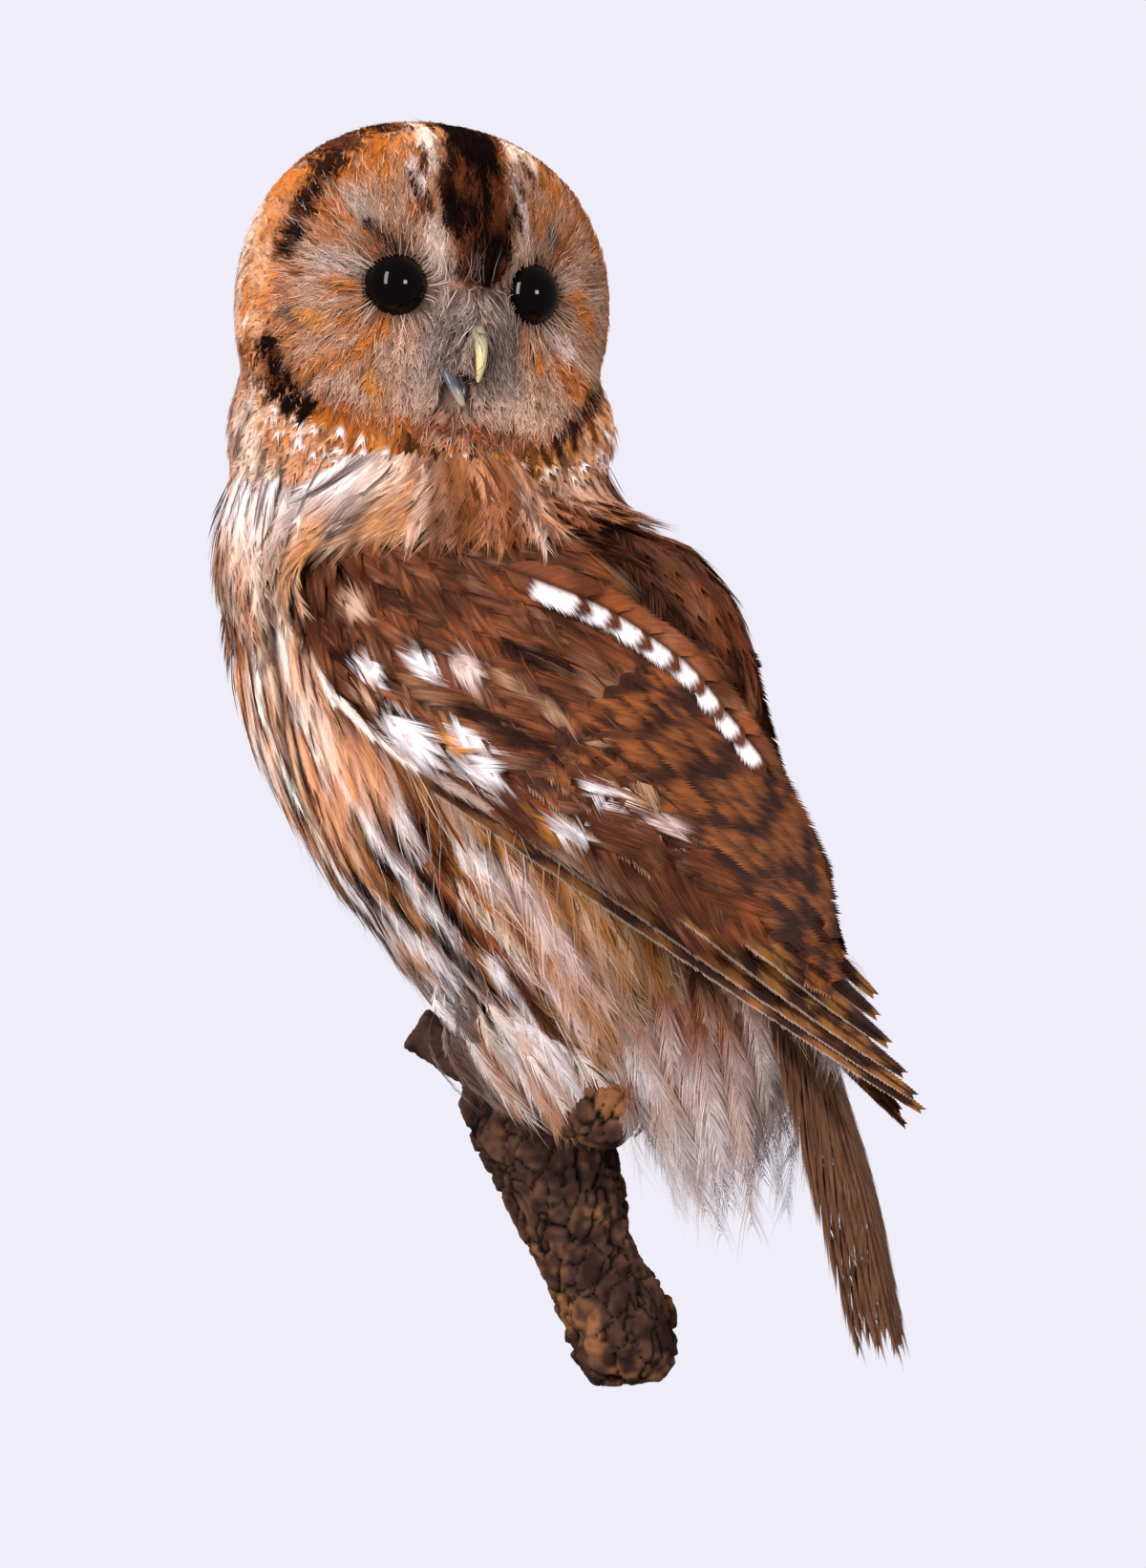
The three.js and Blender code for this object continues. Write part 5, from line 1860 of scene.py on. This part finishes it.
def horn(name, path, widths, depths, material, node):
    """A bent, tapering horn in the head's frame, drawn out ring by ring from its root."""
    bm = bmesh.new()
    ring = bmesh.ops.create_circle(bm, segments=20, radius=0.5)["verts"]
    edges = list(bm.edges)
    ways = unit(np.gradient(np.array(path, float), axis=0))
    before = Matrix.Identity(4)
    for i, (place, way, width, depth) in enumerate(zip(path, ways, widths, depths)):
        if i:
            grown = bmesh.ops.extrude_edge_only(bm, edges=edges)["geom"]
            ring = [g for g in grown if isinstance(g, bmesh.types.BMVert)]
            edges = [g for g in grown if isinstance(g, bmesh.types.BMEdge) and all(v in ring for v in g.verts)]
        z = Vector(way)
        x = Vector((1, 0, 0))
        y = z.cross(x)
        turn = Matrix((x, y, z)).transposed().to_4x4()
        now = Matrix.Translation(place) @ turn @ Matrix.Diagonal((width, depth, 1, 1))
        bmesh.ops.transform(bm, matrix=now @ before.inverted(), verts=ring)
        before = now
    bmesh.ops.contextual_create(bm, geom=edges)
    bmesh.ops.recalc_face_normals(bm, faces=bm.faces)
    room = np.eye(4)
    room[:3, :3] = HEAD.axes * MM
    room[:3, 3] = HEAD.centre * MM
    bmesh.ops.transform(bm, matrix=Matrix(room), verts=bm.verts)
    piece = piece_from(name, mesh_from(bm, name), material, [node])
    smooth = piece.modifiers.new("Smooth", "SUBSURF")
    smooth.levels = smooth.render_levels = 2


upper_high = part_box("bill_upper")[1]
lower_low, lower_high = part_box("bill_lower")
ivory = horn_material("bill_ivory", SLATE, dye(238, 220, 160), upper_high[2] - 0.014, upper_high[2] - 0.002, 500.0)
blue_grey = horn_material(
    "bill_blue_grey", dye(82, 84, 96), dye(200, 188, 158), lower_low[2] - 0.002, lower_low[2] + 0.003, 500.0,
)
# Painted shade: a near-black horn fills the gap between the mandibles.
gap_shade = horn_material("bill_gap_shade", PITCH, SEPIA, lower_low[2], lower_high[2], 500.0)
horn(
    "bill_top",
    [(0.2, 28, -3), (0.1, 35, -5), (0, 40.5, -8.5), (-0.1, 43.6, -12.5), (-0.2, 44.6, -17), (-0.4, 43.8, -20.8),
     (-0.5, 42.9, -23)],
    [6.6, 6.0, 5.0, 4.2, 3.3, 2.0, 0.6], [8.5, 8, 7, 6, 4.6, 2.6, 0.6], ivory, "bill_upper",
)
horn(
    "bill_under", [(6.0, 28, -13), (6.4, 33.5, -18), (5.4, 37.4, -22.5), (3.4, 38.8, -26.5), (1.4, 38.6, -30)],
    [4.6, 4.6, 4.4, 3.6, 1.6], [3.8, 3.6, 3.2, 2.6, 1.2], blue_grey, "bill_lower",
)
# The dark filler between the mandibles, painted shade.
horn(
    "bill_gap_shade", [(1.6, 28, -12), (1.6, 33, -17), (1.6, 36.6, -22), (1.4, 37.8, -26), (1.2, 37.8, -29)],
    [6.5, 6.0, 5.4, 4.0, 1.8], [3.8, 3.6, 3.2, 2.4, 1.2], gap_shade, "bill_lower",
)
claw_horn = horn_material("claw_horn", dye(70, 60, 56), dye(30, 24, 24), -0.03, 0.01, 600.0)
toe_net = Net("toe_scale")
toe_places = toe_net.object_places()
scale_cells = toe_net.value("ShaderNodeTexVoronoi", None, Vector=toe_places, Scale=700.0)
toe_colour = toe_net.blend(scale_cells, GREY_BUFF, CREAM)
toe_scale = toe_net.finish(toe_colour, 0.6 + scale_cells * 0.2, scale_cells, 0.5)
for name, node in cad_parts.items():
    if name.startswith(("claw_", "foot_")):
        node.data.materials.clear()
        node.data.materials.append(claw_horn if name.startswith("claw_") else toe_scale)

# Short bristly down on the toes.
down_parts = []
for name in ("foot_left", "foot_right"):
    toe_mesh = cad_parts[name].data
    tri = vertex_arrays(toe_mesh)[0][[tuple(face.vertices) for face in toe_mesh.polygons]]
    cross = np.cross(tri[:, 1] - tri[:, 0], tri[:, 2] - tri[:, 0])
    size = np.linalg.norm(cross, axis=1)
    face = chance.choice(len(tri), int(2600 / THIN), p=size / size.sum())
    a, b = np.sort(chance.random((2, len(face), 1)), axis=0)
    root = tri[face, 0] * a + tri[face, 1] * (b - a) + tri[face, 2] * (1 - b)
    out = unit(cross[face])
    down = np.array([0, -0.5, -1.0])
    lean = unit(out * 0.4 + unit(down - out * (out @ down)[:, None]) + chance.normal(0, 0.2, root.shape))
    line = root[:, None] + lean[:, None] * np.linspace(0, 4.6, 4)[:, None]
    shade = mixed(CREAM, GREY_BUFF, chance.random(len(root)))
    down_parts += hairs(line, np.broadcast_to(out[:, None], line.shape), 0.7, plain_tint(shade))
tuft_piece("toe_down", "pale_feathers", down_parts)

# --- branch


def bark_material():
    net = Net("cracked_bark")
    places = net.object_places()
    crack = net.value("ShaderNodeAttribute", {"attribute_name": "Tint"})
    fine = net.noise(places, 600.0, 6.0, 0.65)
    broad = net.noise(places, 90.0, 3.0)
    colour = net.scaled(crack, 0.6 + fine * 0.6 + broad * 0.3)
    return net.finish(colour, 0.75 + fine * 0.2, fine, 0.7, 0.0006, Specular_IOR_Level=0.1)


bark_mesh = remeshed("branch", ["perch"], 0.0, 0.0009, 2)
bark_places, bark_ways = vertex_arrays(bark_mesh)
q = bark_places * [1, 1, 0.62]
warp = np.stack([clouds(bark_places, 6, seed) for seed in (301, 302, 303)], axis=1)
q = q + warp * 5
pick = np.random.default_rng(5)
low, high = q.min(axis=0) - 4, q.max(axis=0) + 4
seeds = pick.random((int(np.prod(high - low) / 6.4**3), 3)) * (high - low) + low
first = np.full(len(q), 1e9)
second = np.full(len(q), 1e9)
owner = np.zeros(len(q), int)
for start in range(0, len(q), 2000):
    block = q[start:start + 2000]
    gap = np.linalg.norm(block[:, None] - seeds[None], axis=2)
    order = np.argpartition(gap, 1, axis=1)[:, :2]
    pair = np.take_along_axis(gap, order, axis=1)
    swap = pair[:, 0] > pair[:, 1]
    owner[start:start + 2000] = np.where(swap, order[:, 1], order[:, 0])
    first[start:start + 2000] = pair.min(axis=1)
    second[start:start + 2000] = pair.max(axis=1)
edge = second - first
spur = rise(-18, -26, bark_places[:, 0]) * rise(-6, 2, bark_places[:, 2])
sawn = rise(-1.2, -0.4, bark_places[:, 1])
plate = rise(0.0, 0.9, edge)
tall = pick.random(len(seeds))[owner]
rough = clouds(bark_places, 1.9, 305) * 0.6 + clouds(bark_places, 4.5, 306) * 0.4 - 0.5
raise_by = (plate * (0.9 + 0.9 * tall) - 1.0) * (1 - 0.75 * spur) + rough * 1.6
bark_places = bark_places + bark_ways * (raise_by * (1 - sawn))[:, None]
bark_mesh.vertices.foreach_set("co", (bark_places * MM).ravel())
smooth_faces(bark_mesh)
bark_mesh.update()
patch = clouds(bark_places, 9, 307)
bark_colour = layered(
    dye(64, 42, 36),
    (dye(104, 72, 56), rise(-0.2, 0.35, rough)),
    (dye(150, 100, 62), rise(0.55, 0.8, patch) * rise(-0.2, 0.2, rough) * 0.8),
    (dye(34, 22, 20), rise(0.45, 0.2, patch) * 0.6),
    (dye(12, 7, 7), rise(0.5, 0.05, edge) * (1 - spur)),
    (dye(74, 52, 46), spur * 0.7),
)
knob = rise(4, 12, bark_places[:, 0]) * rise(-13, -6, bark_places[:, 2]) * rise(-60, -80, bark_places[:, 1])
bark_colour = mixed(bark_colour, dye(158, 104, 66), knob * rise(0.1, 0.5, edge) * 0.75)
bark_colour = mixed(bark_colour, dye(186, 140, 96), sawn)
add_tint(bark_mesh, bark_colour)
piece_from("branch", bark_mesh, bark_material(), ["perch"])

# --- floor, light and camera

bpy.ops.mesh.primitive_circle_add(vertices=96, radius=4.0, fill_type="NGON", location=(0, 0, 0))
floor = bpy.context.object
floor.name = "floor"
floor.data.transform(Matrix.Translation((0, 0, -1.2)))
floor_net = Net("pale_floor")
floor_grain = floor_net.noise(floor_net.object_places(), 3.0)
floor.data.materials.append(floor_net.finish(
    floor_net.blend(floor_grain, (0.78, 0.77, 0.8), (0.82, 0.81, 0.84)), 0.8 + floor_grain * 0.1,
    Emission_Color=(0.84, 0.82, 0.9, 1), Emission_Strength=0.4,
))
floor.visible_diffuse = floor.visible_glossy = False

middle = (Vector(cad_low) + Vector(cad_high)) / 2
for name, place, size, watts, colour, glints in (
    ("key", (-0.75, -1.35, 0.7), (0.3, 1.1), 19, (1.0, 0.98, 0.97), True),
    ("fill", (0.85, -1.25, 0.35), (0.3, 0.3), 8, (0.96, 0.96, 1.0), True),
    ("top", (0.1, -0.35, 1.2), (0.9, 0.9), 7, (1.0, 0.99, 1.0), False),
    ("behind", (0.5, 0.9, 0.7), (0.9, 0.9), 5, (0.97, 0.96, 1.0), False),
    ("side", (-1.4, -0.35, 0.2), (0.9, 0.9), 11, (1.0, 0.98, 0.98), False),
):
    data = bpy.data.lights.new(name, "AREA")
    data.shape = "RECTANGLE"
    data.size, data.size_y = size
    data.energy = watts
    data.color = colour
    lamp = bpy.data.objects.new(name, data)
    lamp.location = place
    lamp.rotation_euler = (middle - Vector(place)).to_track_quat("-Z", "Y").to_euler()
    lamp.visible_glossy = glints
    bpy.context.scene.collection.objects.link(lamp)

# The backdrop is bright, while the room round the bird gives a dimmer, even light.
world = bpy.data.worlds.new("studio")
world.use_nodes = True
sky = world.node_tree
backdrop = sky.nodes["Background"]
backdrop.inputs[0].default_value = (0.87, 0.85, 0.94, 1)
room_light = sky.nodes.new("ShaderNodeBackground")
room_light.inputs[0].default_value = (0.97, 0.95, 1.0, 1)
room_light.inputs[1].default_value = 0.22
path = sky.nodes.new("ShaderNodeLightPath")
either = sky.nodes.new("ShaderNodeMixShader")
sky.links.new(path.outputs["Is Camera Ray"], either.inputs[0])
sky.links.new(room_light.outputs[0], either.inputs[1])
sky.links.new(backdrop.outputs[0], either.inputs[2])
sky.links.new(either.outputs[0], sky.nodes["World Output"].inputs[0])
bpy.context.scene.world = world
bpy.context.scene.view_settings.view_transform = "Standard"

camera_data = bpy.data.cameras.new("camera")
camera_data.lens = 110.5
camera_data.sensor_width = 36
camera_data.clip_start = 0.05
camera = bpy.data.objects.new("camera", camera_data)
camera.location = (0.0028, -1.498, 0.0858)
camera.rotation_euler = (math.radians(90), 0, 0)
bpy.context.scene.collection.objects.link(camera)
bpy.context.scene.camera = camera
